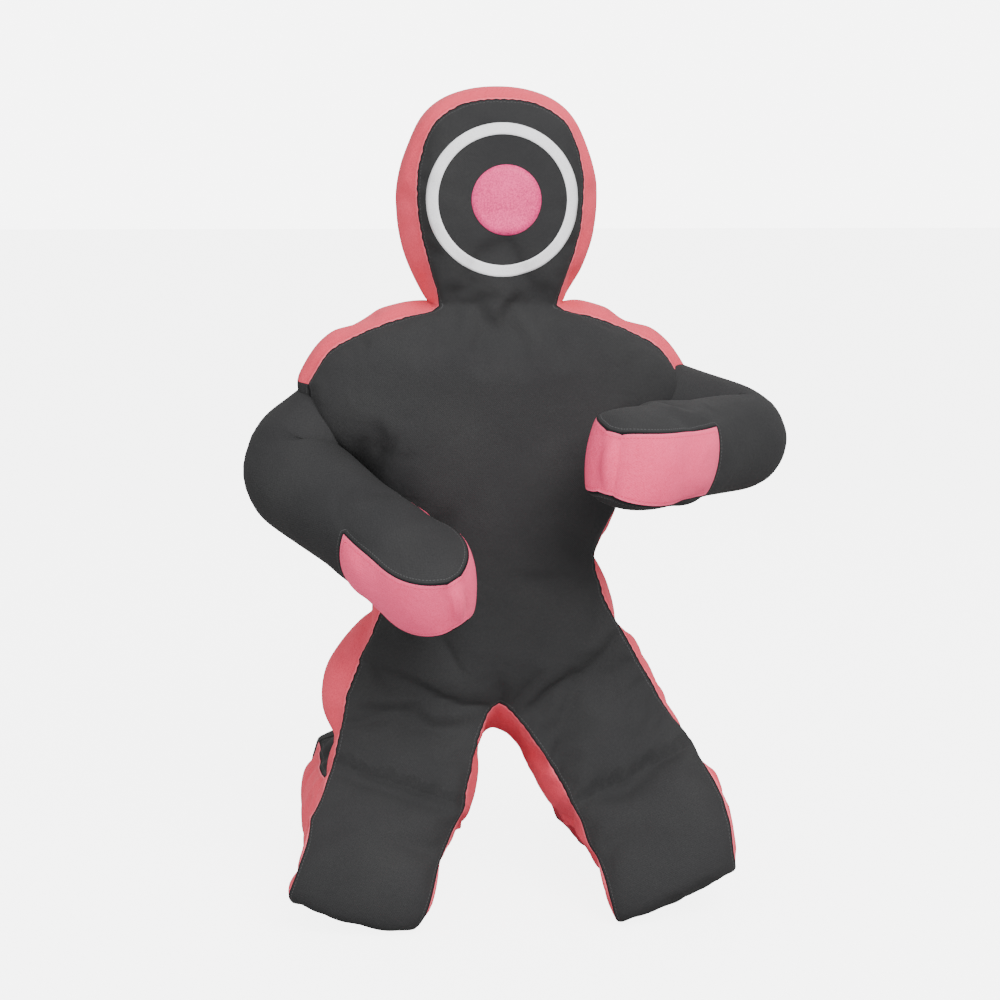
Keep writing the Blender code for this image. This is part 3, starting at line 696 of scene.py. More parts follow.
def leg_stations(fold, side, edge, back_edge):
    """The rings' places down the thigh, round the knee and back to the foot, with their names."""
    knee = fold.knee
    start_front, start_back = (edge[0] + edge[1]) / 2, (back_edge[0] + back_edge[1]) / 2
    start_across = (edge[1] - edge[0]).normalized()
    start_half = (edge[1] - edge[0]).length / 2
    stations = []
    sideways = fold.outwards * SIDES[side]
    wide, corner_wide, aside = KNEE_HALF[side], CORNER_HALF[side], KNEE_ASIDE[side]
    end_front = knee - fold.thigh_through * LEG_DEPTH + sideways * aside
    end_back = knee + fold.into * CREASE + sideways * aside
    steps = max(2, round((end_front - start_front).length / CLOTH_STEP))
    for i in range(1, steps):
        t = i / steps
        across = mix(start_across, fold.outwards, t).normalized()
        half = mix(start_half, wide, smoothstep(t)) + PUCKER * pucker(i * CLOTH_STEP, SIDES[side])
        rear = fold.keep(mix(start_back, end_back, t), -1)
        share = mix(1.0, REAR_SHARE, t)
        top = mix(start_front, end_front, t)
        place = (top, rear, across, half, THIGH_CROWN, THIGH_BULGE, share, LEG_EDGE)
        stations.append(("thigh", place))
    turn = fold.thigh_through.angle(fold.shin_through)
    axis = fold.thigh_through.cross(fold.shin_through).normalized()
    steps = 16
    for i in range(steps + 1):
        t = i / steps
        through = Matrix.Rotation(turn * t, 3, axis) @ fold.thigh_through
        corner = math.sin(math.pi * t) ** 1.6
        outer = knee - through * (LEG_DEPTH + KNEE_CORNER[side] * corner)
        outer += sideways * mix(aside, CORNER_ASIDE[side], corner ** 3)
        outer.z -= KNEE_DROP * corner
        rear = knee + fold.into * CREASE + fold.over * FOLD_GAP * (2 * t - 1) + sideways * aside
        where = "thigh" if t < KNEE_SEAM else "shin"
        half = mix(mix(wide, SHIN_HALF, t), corner_wide, corner ** 4)
        share = REAR_SHARE * mix(wide, SHIN_HALF, t) / half
        crown = mix(THIGH_CROWN, CORNER_CROWN, corner)
        place = (outer, rear, fold.outwards, half, crown, THIGH_BULGE, share, LEG_EDGE)
        stations.append((where, place))
    length = (fold.toe - knee).length
    flat = fold.shin.cross(UP).normalized()
    flat = flat if flat.x * SIDES[side] > 0 else -flat
    steps = round((length - FOOT) / 0.012)
    for i in range(1, steps + 1):
        t = i / steps
        across = mix(fold.outwards, flat, smoothstep(t * 1.6)).normalized()
        through = fold.shin.cross(across).normalized()
        through = through if through.z > 0 else -through
        half = mix(SHIN_HALF, FOOT_HALF, t)
        depth = mix(LEG_DEPTH, FOOT_DEPTH, t)
        centre = knee + fold.shin * (length - FOOT) * t + sideways * aside * (1 - t)
        rear = fold.keep(centre + through * depth, 1)
        share = mix(REAR_SHARE, 1.0, t)
        bottom = centre - through * depth
        place = (bottom, rear, across, half, SHIN_CROWN, SHIN_BULGE, share, LEG_EDGE)
        stations.append(("shin", place))
    for angle in FOOT_ANGLES:
        bend = math.radians(angle)
        centre = knee + fold.shin * (length - FOOT + FOOT * 0.95 * math.sin(bend))
        depth = FOOT_DEPTH * math.cos(bend) ** 0.55
        half = FOOT_HALF * math.cos(bend) ** 0.35
        bulge = FOOT_BULGE * math.cos(bend)
        bottom, top = centre - UP * depth, centre + UP * depth
        place = (bottom, top, flat, half, SHIN_CROWN, bulge, 1.0, LEG_EDGE)
        stations.append(("foot", place))
    return stations


def add_leg(shell, ring, side):
    """Carries the body's cloth down the thigh, round the knee and back to the foot."""
    fold = Fold(side)
    knee = fold.knee
    front, back = ring["front"], ring["back"]
    middle = len(front) // 2
    edge = [shell.points[i] for i in (front[0], front[-1])]
    back_edge = [shell.points[i] for i in (back[0], back[-1])]
    ring.update(v=0.0, half=(edge[1] - edge[0]).length / 2, depth=2 * LEG_DEPTH)
    stations = leg_stations(fold, side, edge, back_edge)

    along = 0.0
    rings = [ring]
    for where, place in stations:
        fresh = shell.ring(place, 0.0)
        for name in WALLS:
            for vertex in fresh[name]:
                point = keep_off_floor(shell.points[vertex])
                if where != "foot" and fold_side(point, fold):
                    point = fold.keep(point, -1 if (point - knee).dot(fold.over) < 0 else 1)
                shell.points[vertex] = point
        before = rings[-1]
        along += (shell.points[fresh["front"][middle]] - shell.points[before["front"][middle]]).length
        fresh["v"] = along
        shell.join(before, fresh, DARK if where == "foot" else BAND)
        rings.append(fresh)
    shell.close(rings[-1], DARK, fold.shin * 0.012)
    for name in ("front", "back"):
        for end in (0, -1):
            shell.seams.append([r[name][end] for r in rings[:-FOOT_RINGS]])
    toe_ring = rings[-FOOT_RINGS - 1]
    shell.seams += [toe_ring["front"], toe_ring["outer"], toe_ring["back"][::-1],
                    toe_ring["inner"][::-1]]
    corner = [r for r, (where, _) in zip(rings[1:], stations) if where == "shin"][0]
    shell.seams.append(corner["front"])
    for r in rings:
        for name in ("back", "inner", "outer"):
            for vertex in r[name]:
                reach = abs((shell.points[vertex] - knee).dot(fold.over))
                if reach < 0.006 and (shell.points[vertex] - knee).dot(fold.into) > -0.01:
                    shell.still.add(vertex)
    return fold


def fold_side(point, fold):
    """Whether a point is on the folded side of the knee, where thigh and shin can meet."""
    return (point - fold.knee).dot(fold.into) > 0.0


# ------------------------------------------------------------------ arms

HAND = {"right": 0.147, "left": 0.151}    # from the wrist's seam to the end of the hand
FINGERTIP = {"right": Vector((-0.063, -0.262, 0.412)), "left": Vector((0.104, -0.290, 0.573))}
HAND_ROLL = {"right": math.radians(19), "left": math.radians(8)}   # the top turned to the front
ELBOW_ROUNDING = 0.040    # how far from the elbow its bend starts
SHOULDER_DROP = 0.012     # the sleeve's middle starts this far under the shoulder's pivot
SHOULDER_ROUND, WRIST_ROUND = 0.047, 0.057     # the sleeve's radius, without its folds
ELBOW_ROUND = {"right": 0.065, "left": 0.059}
ELBOW_OUT = {"right": Vector((-0.016, 0.0, -0.010)), "left": Vector((0.010, 0.0, 0.003))}
HAND_HALF, HAND_DEPTH = 0.051, 0.043       # half of the hand's width and of its height
HAND_CROWN, HAND_BULGE = 0.015, 0.008      # the swell of its panels and of its band
LOOK = 0.012              # how far each way a sleeve's direction is measured


def arm_bend(side):
    """The middle of the sleeve at the elbow, a little outside the elbow's pivot."""
    return pivot(f"{side}_elbow") + ELBOW_OUT[side]


def arm_path(side):
    """The middle of an arm from shoulder to fingertip, rounded at the elbow, and its lengths."""
    shoulder, elbow = pivot(f"{side}_shoulder_swing") - UP * SHOULDER_DROP, arm_bend(side)
    tip = FINGERTIP[side]
    one, two = (shoulder - elbow).normalized(), (tip - elbow).normalized()
    a, b = elbow + one * ELBOW_ROUNDING, elbow + two * ELBOW_ROUNDING
    path = [shoulder]
    for i in range(13):
        t = i / 12
        path.append(a * (1 - t) ** 2 + elbow * 2 * t * (1 - t) + b * t * t)
    path.append(tip)
    return path, lengths_along(path)


def arm_shell(side):
    """A sleeve from inside the shoulder to a hand of two panels and a U of gusset."""
    shell = Shell()
    path, lengths = arm_path(side)
    total = lengths[-1]
    wrist = total - HAND[side]
    bend_at = (pivot(f"{side}_shoulder_swing") - UP * SHOULDER_DROP - arm_bend(side)).length

    def station(reach):
        centre = place_on(path, lengths, reach)
        ahead, behind = (place_on(path, lengths, reach + look) for look in (LOOK, -LOOK))
        along = (ahead - behind).normalized()
        up = (UP - along * UP.dot(along)).normalized()
        roll = HAND_ROLL[side] * smoothstep((reach - bend_at) / (wrist - bend_at))
        up = mix(up, front_of(along), math.sin(roll)).normalized()
        return centre, along, up, along.cross(up).normalized()

    def front_of(along):
        level = along.cross(UP).normalized()
        return level if level.y < 0 else -level

    def spot(centre, up, across, half, depth, crown, bulge):
        return centre + up * depth, centre - up * depth, across, half, crown, bulge, 1.0, None

    made = []
    end_round = HAND_HALF + 0.008

    def grow(where, place, v):
        fresh = shell.ring(place, v)
        if made:
            band = BAND if where == "hand" and made[-1][0] == "hand" else DARK
            shell.join(made[-1][1], fresh, band)
        made.append((where, fresh))
        calm = smoothstep((v - total + end_round + 0.045) / 0.040)
        for name in WALLS:
            shell.calm.update((vertex, calm) for vertex in fresh[name])

    flat, round_swell = math.sqrt(0.5), 1 - math.sqrt(0.5)
    centre, along, up, across = station(0.0)
    for angle in (72, 54, 36, 18):
        bend = math.radians(angle)
        size = SHOULDER_ROUND * math.cos(bend)
        back_off = SHOULDER_ROUND * math.sin(bend)
        place = spot(centre - along * back_off, up, across, size * flat, size * flat,
                     size * round_swell, size * round_swell)
        grow("arm", place, -back_off)
    steps = round((total - end_round) / CLOTH_STEP)
    reaches = [(total - end_round) * i / steps for i in range(steps + 1)]
    nearest = min(reaches, key=lambda reach: abs(reach - wrist))
    for reach in reaches:
        centre, along, up, across = station(reach)
        size = mix(SHOULDER_ROUND, ELBOW_ROUND[side], smoothstep(reach / bend_at) ** 1.4)
        size = mix(size, WRIST_ROUND, smoothstep((reach - bend_at) / (wrist - bend_at)))
        share = smoothstep((reach - wrist + 0.05) / 0.09)
        half = mix(size * flat, HAND_HALF, share)
        depth = mix(size * flat, HAND_DEPTH, share)
        crown = mix(size * round_swell, HAND_CROWN, share)
        bulge = mix(size * round_swell, HAND_BULGE, share)
        place = spot(centre, up, across, half, depth, crown, bulge)
        grow("hand" if reach >= nearest else "arm", place, reach)
    knuckles, along, up, across = station(total - end_round)
    turns = [math.radians(angle) for angle in (14, 28, 41, 53, 64, 73, 81)]
    narrowest = math.cos(turns[-1])
    for bend in turns:
        narrow = math.cos(bend)
        crown = HAND_CROWN * (narrow - narrowest) / (1 - narrowest)
        centre = knuckles + along * end_round * math.sin(bend)
        half = HAND_HALF * narrow ** 0.95
        depth = HAND_DEPTH * narrow ** 0.10
        place = spot(centre, up, across, half, depth, crown, HAND_BULGE * narrow)
        grow("hand", place, total - end_round * (1 - math.sin(bend)))
    shell.close(made[0][1], FRONT, station(0.0)[1] * -0.004)
    shell.close(made[-1][1], BAND, station(total)[1] * 0.006)
    hand = [ring for where, ring in made if where == "hand"]
    for name in ("front", "back"):
        there = [ring[name][0] for ring in hand]
        again = [ring[name][-1] for ring in hand[-2::-1]]
        shell.seams.append(there + hand[-1][name][1:] + again)
    shell.seams.append(hand[0]["outer"])
    shell.seams.append(hand[0]["inner"])
    return shell


# ------------------------------------------------------------------ materials


class Nodes:
    """Short ways to write a material's nodes."""

    def __init__(self, name):
        self.material = bpy.data.materials.new(name)
        self.material.use_nodes = True
        self.tree = self.material.node_tree
        self.tree.nodes.clear()

    def add(self, kind, inputs=None, **settings):
        node = self.tree.nodes.new(kind)
        for key, value in settings.items():
            setattr(node, key, value)
        for key, value in (inputs or {}).items():
            self.feed(node.inputs[key], value)
        return node

    def feed(self, socket, value):
        if isinstance(value, bpy.types.NodeSocket):
            self.tree.links.new(value, socket)
        else:
            socket.default_value = value

    def maths(self, operation, *values):
        node = self.add("ShaderNodeMath", operation=operation)
        for i, value in enumerate(values):
            self.feed(node.inputs[i], value)
        return node.outputs[0]

    def noise(self, vector, scale, detail, **more):
        inputs = {"Vector": vector, "Scale": scale, "Detail": detail, **more}
        return self.add("ShaderNodeTexNoise", inputs).outputs[0]

    def place(self):
        return self.add("ShaderNodeTexCoord").outputs["Object"]

    def sum(self, *shares):
        """The sum of values, each given as (value, its weight)."""
        total = None
        for value, weight in shares:
            part = value if weight == 1 else self.maths("MULTIPLY", value, weight)
            total = self.maths("ADD", total, part) if total is not None else part
        return total

    def bump(self, height, strength, distance, **more):
        inputs = {"Height": height, "Strength": strength, "Distance": distance, **more}
        return self.add("ShaderNodeBump", inputs).outputs[0]

    def mapped(self, value, low, high, to_low=0.0, to_high=1.0):
        inputs = {"Value": value, "From Min": low, "From Max": high,
                  "To Min": to_low, "To Max": to_high}
        node = self.add("ShaderNodeMapRange", inputs, interpolation_type="SMOOTHSTEP")
        return node.outputs[0]

    def blended(self, share, one, two):
        node = self.add("ShaderNodeMix", data_type="RGBA")
        self.feed(node.inputs["Factor"], share)
        self.feed(node.inputs[6], one)
        self.feed(node.inputs[7], two)
        return node.outputs[2]

    def attribute(self, name):
        return self.add("ShaderNodeAttribute", attribute_name=name).outputs["Fac"]

    def surface(self, colour, roughness, normal, **more):
        shader = self.add("ShaderNodeBsdfPrincipled")
        self.feed(shader.inputs["Base Color"], colour)
        self.feed(shader.inputs["Roughness"], roughness)
        if normal is not None:
            self.feed(shader.inputs["Normal"], normal)
        for key, value in more.items():
            self.feed(shader.inputs[key.replace("_", " ")], value)
        out = self.add("ShaderNodeOutputMaterial")
        self.tree.links.new(shader.outputs[0], out.inputs["Surface"])
        return self.material


def rgb(*values):
    """An sRGB colour, 0 to 255, as linear light."""
    shares = [v / 255 for v in values]
    return tuple(s / 12.92 if s <= 0.04045 else ((s + 0.055) / 1.055) ** 2.4 for s in shares) + (1.0,)


YARN = 0.0013             # spacing of the canvas's yarns
STITCH, STITCH_LINE = 0.0042, 0.0055   # a stitch and its gap; how far the line is from the seam


def canvas(name, colours, sheen, shine, speck):
    """Plain-woven canvas with slubs, a line of stitches beside each seam, a band along each seam
    (painted shade on the black canvas, paler on the pink) and a worn tone.
    """
    n = Nodes(name)
    weave = n.add("ShaderNodeUVMap", uv_map="weave").outputs[0]
    place = n.add("ShaderNodeSeparateXYZ", {0: weave})
    shift = n.maths("MULTIPLY", n.noise(weave, 160.0, 2.0), 0.0011)
    u = n.maths("ADD", place.outputs[0], shift)
    v = n.maths("SUBTRACT", place.outputs[1], shift)
    waves = [n.maths("SINE", n.maths("MULTIPLY", value, math.pi / YARN)) for value in (u, v)]
    woven = n.maths("MULTIPLY", *waves)

    object_place = n.place()
    broad = n.noise(object_place, 9.0, 5.0)
    fine = n.noise(object_place, 620.0, 3.0)
    slub = n.noise(weave, 420.0, 1.0)
    tone = n.sum((broad, 0.55), (fine, speck), (woven, 0.07), (slub, 0.25))
    colour = n.blended(n.mapped(tone, 0.25, 0.95 + 0.4 * speck), colours["dark"], colours["light"])

    seam, along = n.attribute("seam"), n.attribute("along")
    # A band of colour along each seam, fading out about 3 mm from it: painted shade, darker, on the
    # black canvas; on the pink canvases the band is paler than the cloth.
    colour = n.blended(n.mapped(seam, 0.0008, 0.0032), colours["seam_shade_and_tone"], colour)
    off_line = n.maths("ABSOLUTE", n.maths("SUBTRACT", seam, STITCH_LINE))
    line = n.maths("SUBTRACT", 1.0, n.mapped(off_line, 0.0002, 0.0007))
    dash = n.mapped(n.maths("SINE", n.maths("MULTIPLY", along, 2 * math.pi / STITCH)), -0.55, -0.25)
    stitch = n.maths("MULTIPLY", line, dash)
    colour = n.blended(n.maths("MULTIPLY", stitch, 0.8), colour, colours["thread"])

    weave_bump = n.bump(n.sum((woven, 0.5), (fine, 0.6), (stitch, 1.6)), 0.55, 0.0005)
    bump = n.bump(n.noise(object_place, 34.0, 4.0, Distortion=0.6), 0.35, 0.006, Normal=weave_bump)
    roughness = n.mapped(tone, 0.2, 1.1, 0.80, 0.93)
    return n.surface(
        colour, roughness, bump, Specular_IOR_Level=shine, Sheen_Weight=sheen, Sheen_Roughness=0.5
    )


def printed(name, dark, light, grain):
    """Ink printed on canvas: the weave shows through, and the ink is thin on its high points."""
    n = Nodes(name)
    spots = n.noise(n.place(), grain, 4.0, Roughness=0.7)
    tone = n.sum((spots, 0.75), (n.noise(n.place(), 26.0, 3.0), 0.25))
    colour = n.blended(n.mapped(tone, 0.30, 0.62), dark, light)
    roughness = n.mapped(tone, 0.3, 0.7, 0.62, 0.5)
    return n.surface(colour, roughness, n.bump(spots, 0.4, 0.0004), Specular_IOR_Level=0.35)


BLACK_CLOTH = {
    "dark": rgb(42, 42, 43), "light": rgb(57, 57, 57),
    # the last colour is the band along the seams: painted shade, darker than the cloth
    "thread": rgb(78, 78, 79), "seam_shade_and_tone": rgb(24, 24, 25),
}
# The pink canvas of the body's gussets, made darker to stand for their shaded sides: painted shade, a
# shaded copy of the hands' pink.
SHADED_PINK_CLOTH = {
    "dark": rgb(196, 48, 66), "light": rgb(240, 84, 104),
    "thread": rgb(214, 48, 72), "seam_shade_and_tone": rgb(236, 104, 120),
}
# The same pink canvas for the hands, made lighter for their lit tops (painted light), and a little
# more magenta.
LIT_HAND_CLOTH = {
    "dark": rgb(224, 52, 94), "light": rgb(255, 94, 136),
    "thread": rgb(226, 52, 96), "seam_shade_and_tone": rgb(240, 96, 130),
}
BLACK = canvas("black_canvas", BLACK_CLOTH, 0.015, 0.06, 0.30)
SHADED_PINK = canvas("pink_canvas", SHADED_PINK_CLOTH, 0.04, 0.15, 0.9)
LIT_HAND_PINK = canvas("lit_hand_pink_canvas", LIT_HAND_CLOTH, 0.04, 0.15, 0.9)
WHITE_PRINT = printed("white_print", rgb(214, 213, 216), rgb(236, 236, 238), 700.0)
PINK_PRINT = printed("pink_print", rgb(188, 34, 92), rgb(238, 70, 132), 520.0)


def plain(name, dark, light, roughness, metallic, scale):
    """A small hard part: fine brushed or moulded grain and worn tone."""
    n = Nodes(name)
    grain = n.noise(n.place(), scale, 3.0)
    colour = n.blended(n.mapped(grain, 0.3, 0.7), dark, light)
    rough = n.mapped(grain, 0.3, 0.7, roughness - 0.08, roughness + 0.08)
    return n.surface(colour, rough, n.bump(grain, 0.3, 0.0002), Metallic=metallic)


ZIP_CLOTH = plain("zip_cloth", rgb(30, 30, 31), rgb(46, 46, 47), 0.85, 0.0, 1500.0)
ZIP_PLASTIC = plain("zip_plastic", rgb(26, 26, 27), rgb(48, 48, 50), 0.42, 0.0, 900.0)
ZIP_METAL = plain("zip_metal", rgb(96, 96, 99), rgb(140, 140, 144), 0.34, 1.0, 600.0)

for node, material in (
    ("zip_tape", ZIP_CLOTH),
    ("zip_teeth", ZIP_PLASTIC),
    ("zip_bottom_stop", ZIP_METAL),
    ("zip_top_stop", ZIP_METAL),
    ("zip_slider", ZIP_METAL),
    ("zip_pull", ZIP_METAL),
):
    for slot in frame["nodes"][node].material_slots:
        slot.material = material


# ------------------------------------------------------------------ making the pieces

ZIP_FADE = 0.020          # from the flat cloth under the zip to the cloth's own swell


def flatten_for_zip(shell):
    """Lays the back flat under the zip's tape, and a little past it."""
    low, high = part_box("zip_tape")
    bed = low[1] - SHIFT.y - 0.0006
    for i, point in enumerate(shell.points):
        if point.y < 0.03:
            continue
        beside = (abs(point.x) - 0.019) / ZIP_FADE
        beyond = (max(low[2] - point.z, point.z - high[2]) - 0.004) / ZIP_FADE
        share = smoothstep(1 - beside) * smoothstep(1 - beyond)
        if share:
            shell.points[i] = Vector((point.x, mix(point.y, bed, share), point.z))


def press_thigh(shell, side, fold):
    """Holds the thigh's cloth on its own side of the fold, and pins it there."""
    for i, point in enumerate(shell.points):
        if point.x * SIDES[side] > 0.01 and 0.03 < point.z < 0.30 and fold_side(point, fold):
            away = point - fold.knee
            in_thigh = away.dot(fold.up_thigh) > away.dot(fold.shin)
            if in_thigh and -FOLD_GAP < away.dot(fold.over) < 0.03:
                shell.points[i] = fold.keep(point, -1)
                shell.still.add(i)


def make_body():
    """The body's finished cloth, and the fold of each leg."""
    shell, leg_rings = body_shell()
    folds = {side: add_leg(shell, leg_rings[side], side) for side in SIDES}
    for side, fold in folds.items():
        press_thigh(shell, side, fold)
    inflate(shell, "body_cloth", BODY_CAP)
    flatten_for_zip(shell)
    for i, point in enumerate(shell.points):
        if i not in shell.still:
            shell.points[i] = keep_off_floor(point)
    return finished(shell, "body_smooth"), folds


NECK_CUT, HEAD_CUT, NOD_END = UP * 0.733, UP * 0.765, UP * 0.785
HIP_BENDS = (0.035, 0.070)      # where the hip's bend and the thigh's end, along the hip's line
KNEE_REACH, ELBOW_REACH = 0.050, 0.046   # how far from its joint a bend starts and ends
SHOULDER_REACH = 0.030
# The body's gussets take the darker pink copy: painted shade.
BODY_CLOTHS = {"front": ((FRONT, DARK), BLACK), "back": ((BACK,), BLACK), "band": ((BAND,), SHADED_PINK)}
HEAD_NODES = {"front": ["face_panel", "head_fill"], "back": ["head_back_panel"],
              "band": ["head_gusset"]}
TORSO_NODES = {"front": ["torso_front_panel", "torso_fill"], "back": ["torso_back_panel"],
               "band": ["left_side_gusset", "right_side_gusset"]}
LEG_NODES = {"front": ["front_panel", "fill"], "back": ["back_panel"],
             "band": ["inner_gusset", "outer_gusset"]}


def hip_line(side):
    """The line that a hip's bend runs along: from the crotch out and down the thigh."""
    sign = SIDES[side]
    return Vector((0.047 * sign, 0.0, 0.288)), Vector((0.768 * sign, 0.0, -0.640))


def add_piece(shell, name, cloth, planes, nodes, bodies, bend=None):
    """Cuts a piece that rides on its body, or, given a bend, is left in place on no body."""
    kinds, material = cloth
    obj = cut_piece(shell, name, kinds, planes, material)
    if bend:
        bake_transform(obj)
    else:
        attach(obj, *bodies)
    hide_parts(*nodes)


def body_pieces(whole, folds):
    for label, cloth in BODY_CLOTHS.items():
        add_piece(whole, f"head_{label}_canvas", cloth, [(HEAD_CUT, DOWN)],
                  HEAD_NODES[label], ("neck", "head"), (HEAD_CUT, NOD_END))
        add_piece(whole, f"neck_{label}_canvas", cloth, [(HEAD_CUT, UP), (NECK_CUT, DOWN)],
                  ["neck_pad"], ("torso", "neck"), (NECK_CUT, HEAD_CUT))
        planes = [(NECK_CUT, UP)] + [hip_line(side) for side in SIDES]
        add_piece(whole, f"torso_{label}_canvas", cloth, planes, TORSO_NODES[label], ("torso",))
        for side, fold in folds.items():
            leg_pieces(whole, side, fold, label, cloth)


def leg_pieces(whole, side, fold, label, cloth):
    start, along = hip_line(side)
    hip_end, thigh_end = (start + along * reach for reach in HIP_BENDS)
    knee_start, knee_end = (fold.knee + fold.over * reach for reach in (-KNEE_REACH, KNEE_REACH))
    own_half = (Vector(), Vector((-SIDES[side], 0, 0)))
    thigh = [f"thigh_{node}" for node in LEG_NODES[label]]
    shin = [f"shin_{node}" for node in LEG_NODES[label]] + ["knee_pad"] * (label == "front")
    for name, above, planes, nodes, bend in (
        ("hip", "torso", [(start, -along), (hip_end, along)], ["hip_pad"], (start, hip_end)),
        ("thigh", f"{side}_hip", [(hip_end, -along), (knee_start, fold.over)], thigh,
         (hip_end, thigh_end)),
        ("shin", f"{side}_thigh", [(hip_end, -along), (knee_start, -fold.over)], shin,
         (knee_start, knee_end)),
    ):
        add_piece(whole, f"{side}_{name}_{label}_canvas", cloth, planes + [own_half],
                  [f"{side}_{node}" for node in nodes], (above, f"{side}_{name}"), bend)


def arm_pieces(side):
    shell = arm_shell(side)
    inflate(shell, f"{side}_arm_cloth", ARM_CAP, shrink=(-0.02, 0.03))
    arm = finished(shell, f"{side}_arm_smooth")
    shoulder, elbow, tip = pivot(f"{side}_shoulder_swing"), pivot(f"{side}_elbow"), FINGERTIP[side]
    down = (elbow - shoulder).normalized()
    over = (down + (tip - elbow).normalized()).normalized()
    start, end = elbow - over * ELBOW_REACH, elbow + over * ELBOW_REACH
    # The hand's gusset takes the lighter pink copy: painted light.
    black, lit_hand_pink = ((FRONT, BACK, DARK), BLACK), ((BAND,), LIT_HAND_PINK)
    lower_nodes = ["elbow_pad", "forearm_fill", "forearm_sleeve", "hand_top_panel", "hand_palm_panel"]
    for name, cloth, planes, nodes, bodies, bend in (
        ("upper_arm", black, [(start, over)], ["shoulder_pad", "upper_arm_fill", "upper_arm_sleeve"],
         ("shoulder", "upper_arm"), (shoulder, shoulder + down * SHOULDER_REACH)),
        ("forearm", black, [(start, -over)], lower_nodes, ("upper_arm", "forearm"), (start, end)),
        ("hand_band", lit_hand_pink, [], ["hand_gusset"], ("forearm",), None),
    ):
        add_piece(arm, f"{side}_{name}_canvas", cloth, planes,
                  [f"{side}_{node}" for node in nodes], [f"{side}_{body}" for body in bodies], bend)
    arm.free()


whole, folds = make_body()
body_pieces(whole, folds)
for side in SIDES:
    arm_pieces(side)


# ------------------------------------------------------------------ the printed target

RING, DISC = (0.0905, 0.0768), (0.0415, 0.0020)   # outer and inner radius
DISC_ASIDE = 0.008        # how far the disc is printed to the dummy's left
SOLID_BELOW = 0.005       # an inner radius under this is filled in
ring_low, ring_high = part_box("target_ring")
TARGET_HEIGHT = (ring_low[2] + ring_high[2]) / 2


def face_tree(whole):
    bm = whole.copy()
    bmesh.ops.delete(bm, geom=[f for f in bm.faces if f.material_index != FRONT], context="FACES")
    tree = BVHTree.FromBMesh(bm)
    bm.free()
    return tree


def add_target(tree, name, node, radii, aside, material):
    """A printed ring or disc that follows the swell of the face."""
    outer, inner = radii
    turns, rows = 96, 5
    bm = bmesh.new()
    grid = []
    for j in range(rows + 1):
        radius = mix(inner, outer, j / rows)
        row = []
        for i in range(turns):
            angle = 2 * math.pi * i / turns
            x, z = aside + radius * math.cos(angle), TARGET_HEIGHT + radius * math.sin(angle)
            hit = tree.ray_cast(Vector((x, -0.5, z)), Vector((0, 1, 0)))[0]
            y = hit.y if hit else front_place(x, z).y
            row.append(bm.verts.new(Vector((x, y - 0.0005, z)) + SHIFT))
        grid.append(row)
    for near, far in zip(grid, grid[1:]):
        for i in range(turns):
            j = (i + 1) % turns
            bm.faces.new((near[i], near[j], far[j], far[i]))
    if inner < SOLID_BELOW:
        bm.faces.new(grid[0][::-1])
    bmesh.ops.recalc_face_normals(bm, faces=bm.faces)
    mesh = bpy.data.meshes.new(name)
    bm.to_mesh(mesh)
    bm.free()
    mesh.shade_smooth()
    mesh.materials.append(material)
    obj = in_scene(name, mesh)
    thick = obj.modifiers.new("ink", "SOLIDIFY")
    thick.thickness = 0.0004
    thick.offset = 1.0
    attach(obj, "head")
    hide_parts(node)


face = face_tree(whole)
add_target(face, "printed_ring", "target_ring", RING, HEAD_ASIDE, WHITE_PRINT)
add_target(face, "printed_disc", "target_disc", DISC, DISC_ASIDE, PINK_PRINT)
whole.free()


# ------------------------------------------------------------------ floor, light and camera

FLOOR_GLOW, SKY_GLOW = 5.2, 6.6   # what only the camera sees
SKY_LIGHT = 0.95                  # what lights the dummy


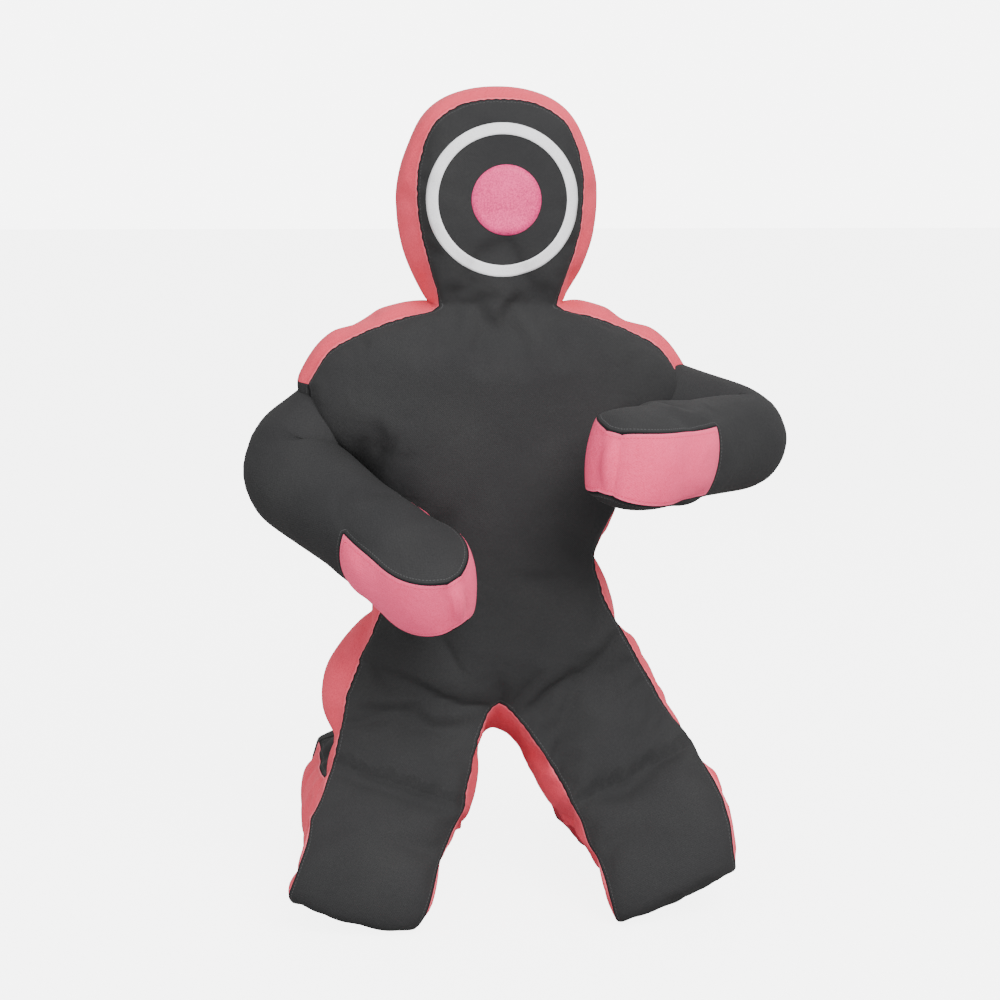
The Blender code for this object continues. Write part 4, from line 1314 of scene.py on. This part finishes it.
def add_floor():
    """A pale floor, lighter to the eye than the light it gives back to the dummy."""
    bm = bmesh.new()
    bmesh.ops.create_grid(bm, x_segments=8, y_segments=8, size=40.0)
    mesh = bpy.data.meshes.new("studio_floor")
    bm.to_mesh(mesh)
    bm.free()
    n = Nodes("studio_floor")
    grain = n.noise(n.place(), 40.0, 3.0)
    colour = n.blended(grain, (0.48, 0.48, 0.48, 1.0), (0.52, 0.52, 0.52, 1.0))
    seen = n.add("ShaderNodeLightPath").outputs["Is Camera Ray"]
    glow = n.maths("MULTIPLY", seen, FLOOR_GLOW)
    mesh.materials.append(n.surface(
        colour, 0.9, None, Emission_Color=(1.0, 1.0, 1.0, 1.0), Emission_Strength=glow
    ))
    floor = in_scene("studio_floor", mesh)


def add_sky():
    sky = bpy.data.worlds.new("studio")
    sky.use_nodes = True
    tree = sky.node_tree
    path = tree.nodes.new("ShaderNodeLightPath")
    strength = tree.nodes.new("ShaderNodeMapRange")
    strength.inputs["To Min"].default_value = SKY_LIGHT
    strength.inputs["To Max"].default_value = SKY_GLOW
    tree.links.new(path.outputs["Is Camera Ray"], strength.inputs["Value"])
    background = tree.nodes["Background"]
    background.inputs["Color"].default_value = (1.0, 1.0, 1.0, 1.0)
    tree.links.new(strength.outputs[0], background.inputs["Strength"])
    bpy.context.scene.world = sky


def aim(obj, place, target):
    obj.location = place
    obj.rotation_euler = (target - place).to_track_quat("-Z", "Y").to_euler()


def add_light(name, place, target, size, power):
    light = bpy.data.lights.new(name, "AREA")
    light.shape = "DISK"
    light.size = size
    light.energy = power
    obj = in_scene(name, light)
    aim(obj, Vector(place), Vector(target))


def add_camera():
    camera = bpy.data.cameras.new("camera")
    camera.sensor_width = 36.0
    camera.lens = 75.7
    camera.shift_x, camera.shift_y = 0.0068, -0.0081
    camera.clip_end = 100.0
    obj = in_scene("camera", camera)
    aim(obj, Vector((-0.227, -2.590, 0.88)) + SHIFT, Vector((0.0, 0.0, 0.50)) + SHIFT)
    bpy.context.scene.camera = obj


add_floor()
add_sky()
add_light("key", (0.9, -3.0, 2.9), (0, 0, 0.5), 2.4, 210)
add_light("fill", (-2.4, -2.2, 1.5), (0, 0, 0.5), 2.0, 30)
add_light("back", (0.5, 2.6, 2.4), (0, 0, 0.6), 2.0, 28)
add_camera()
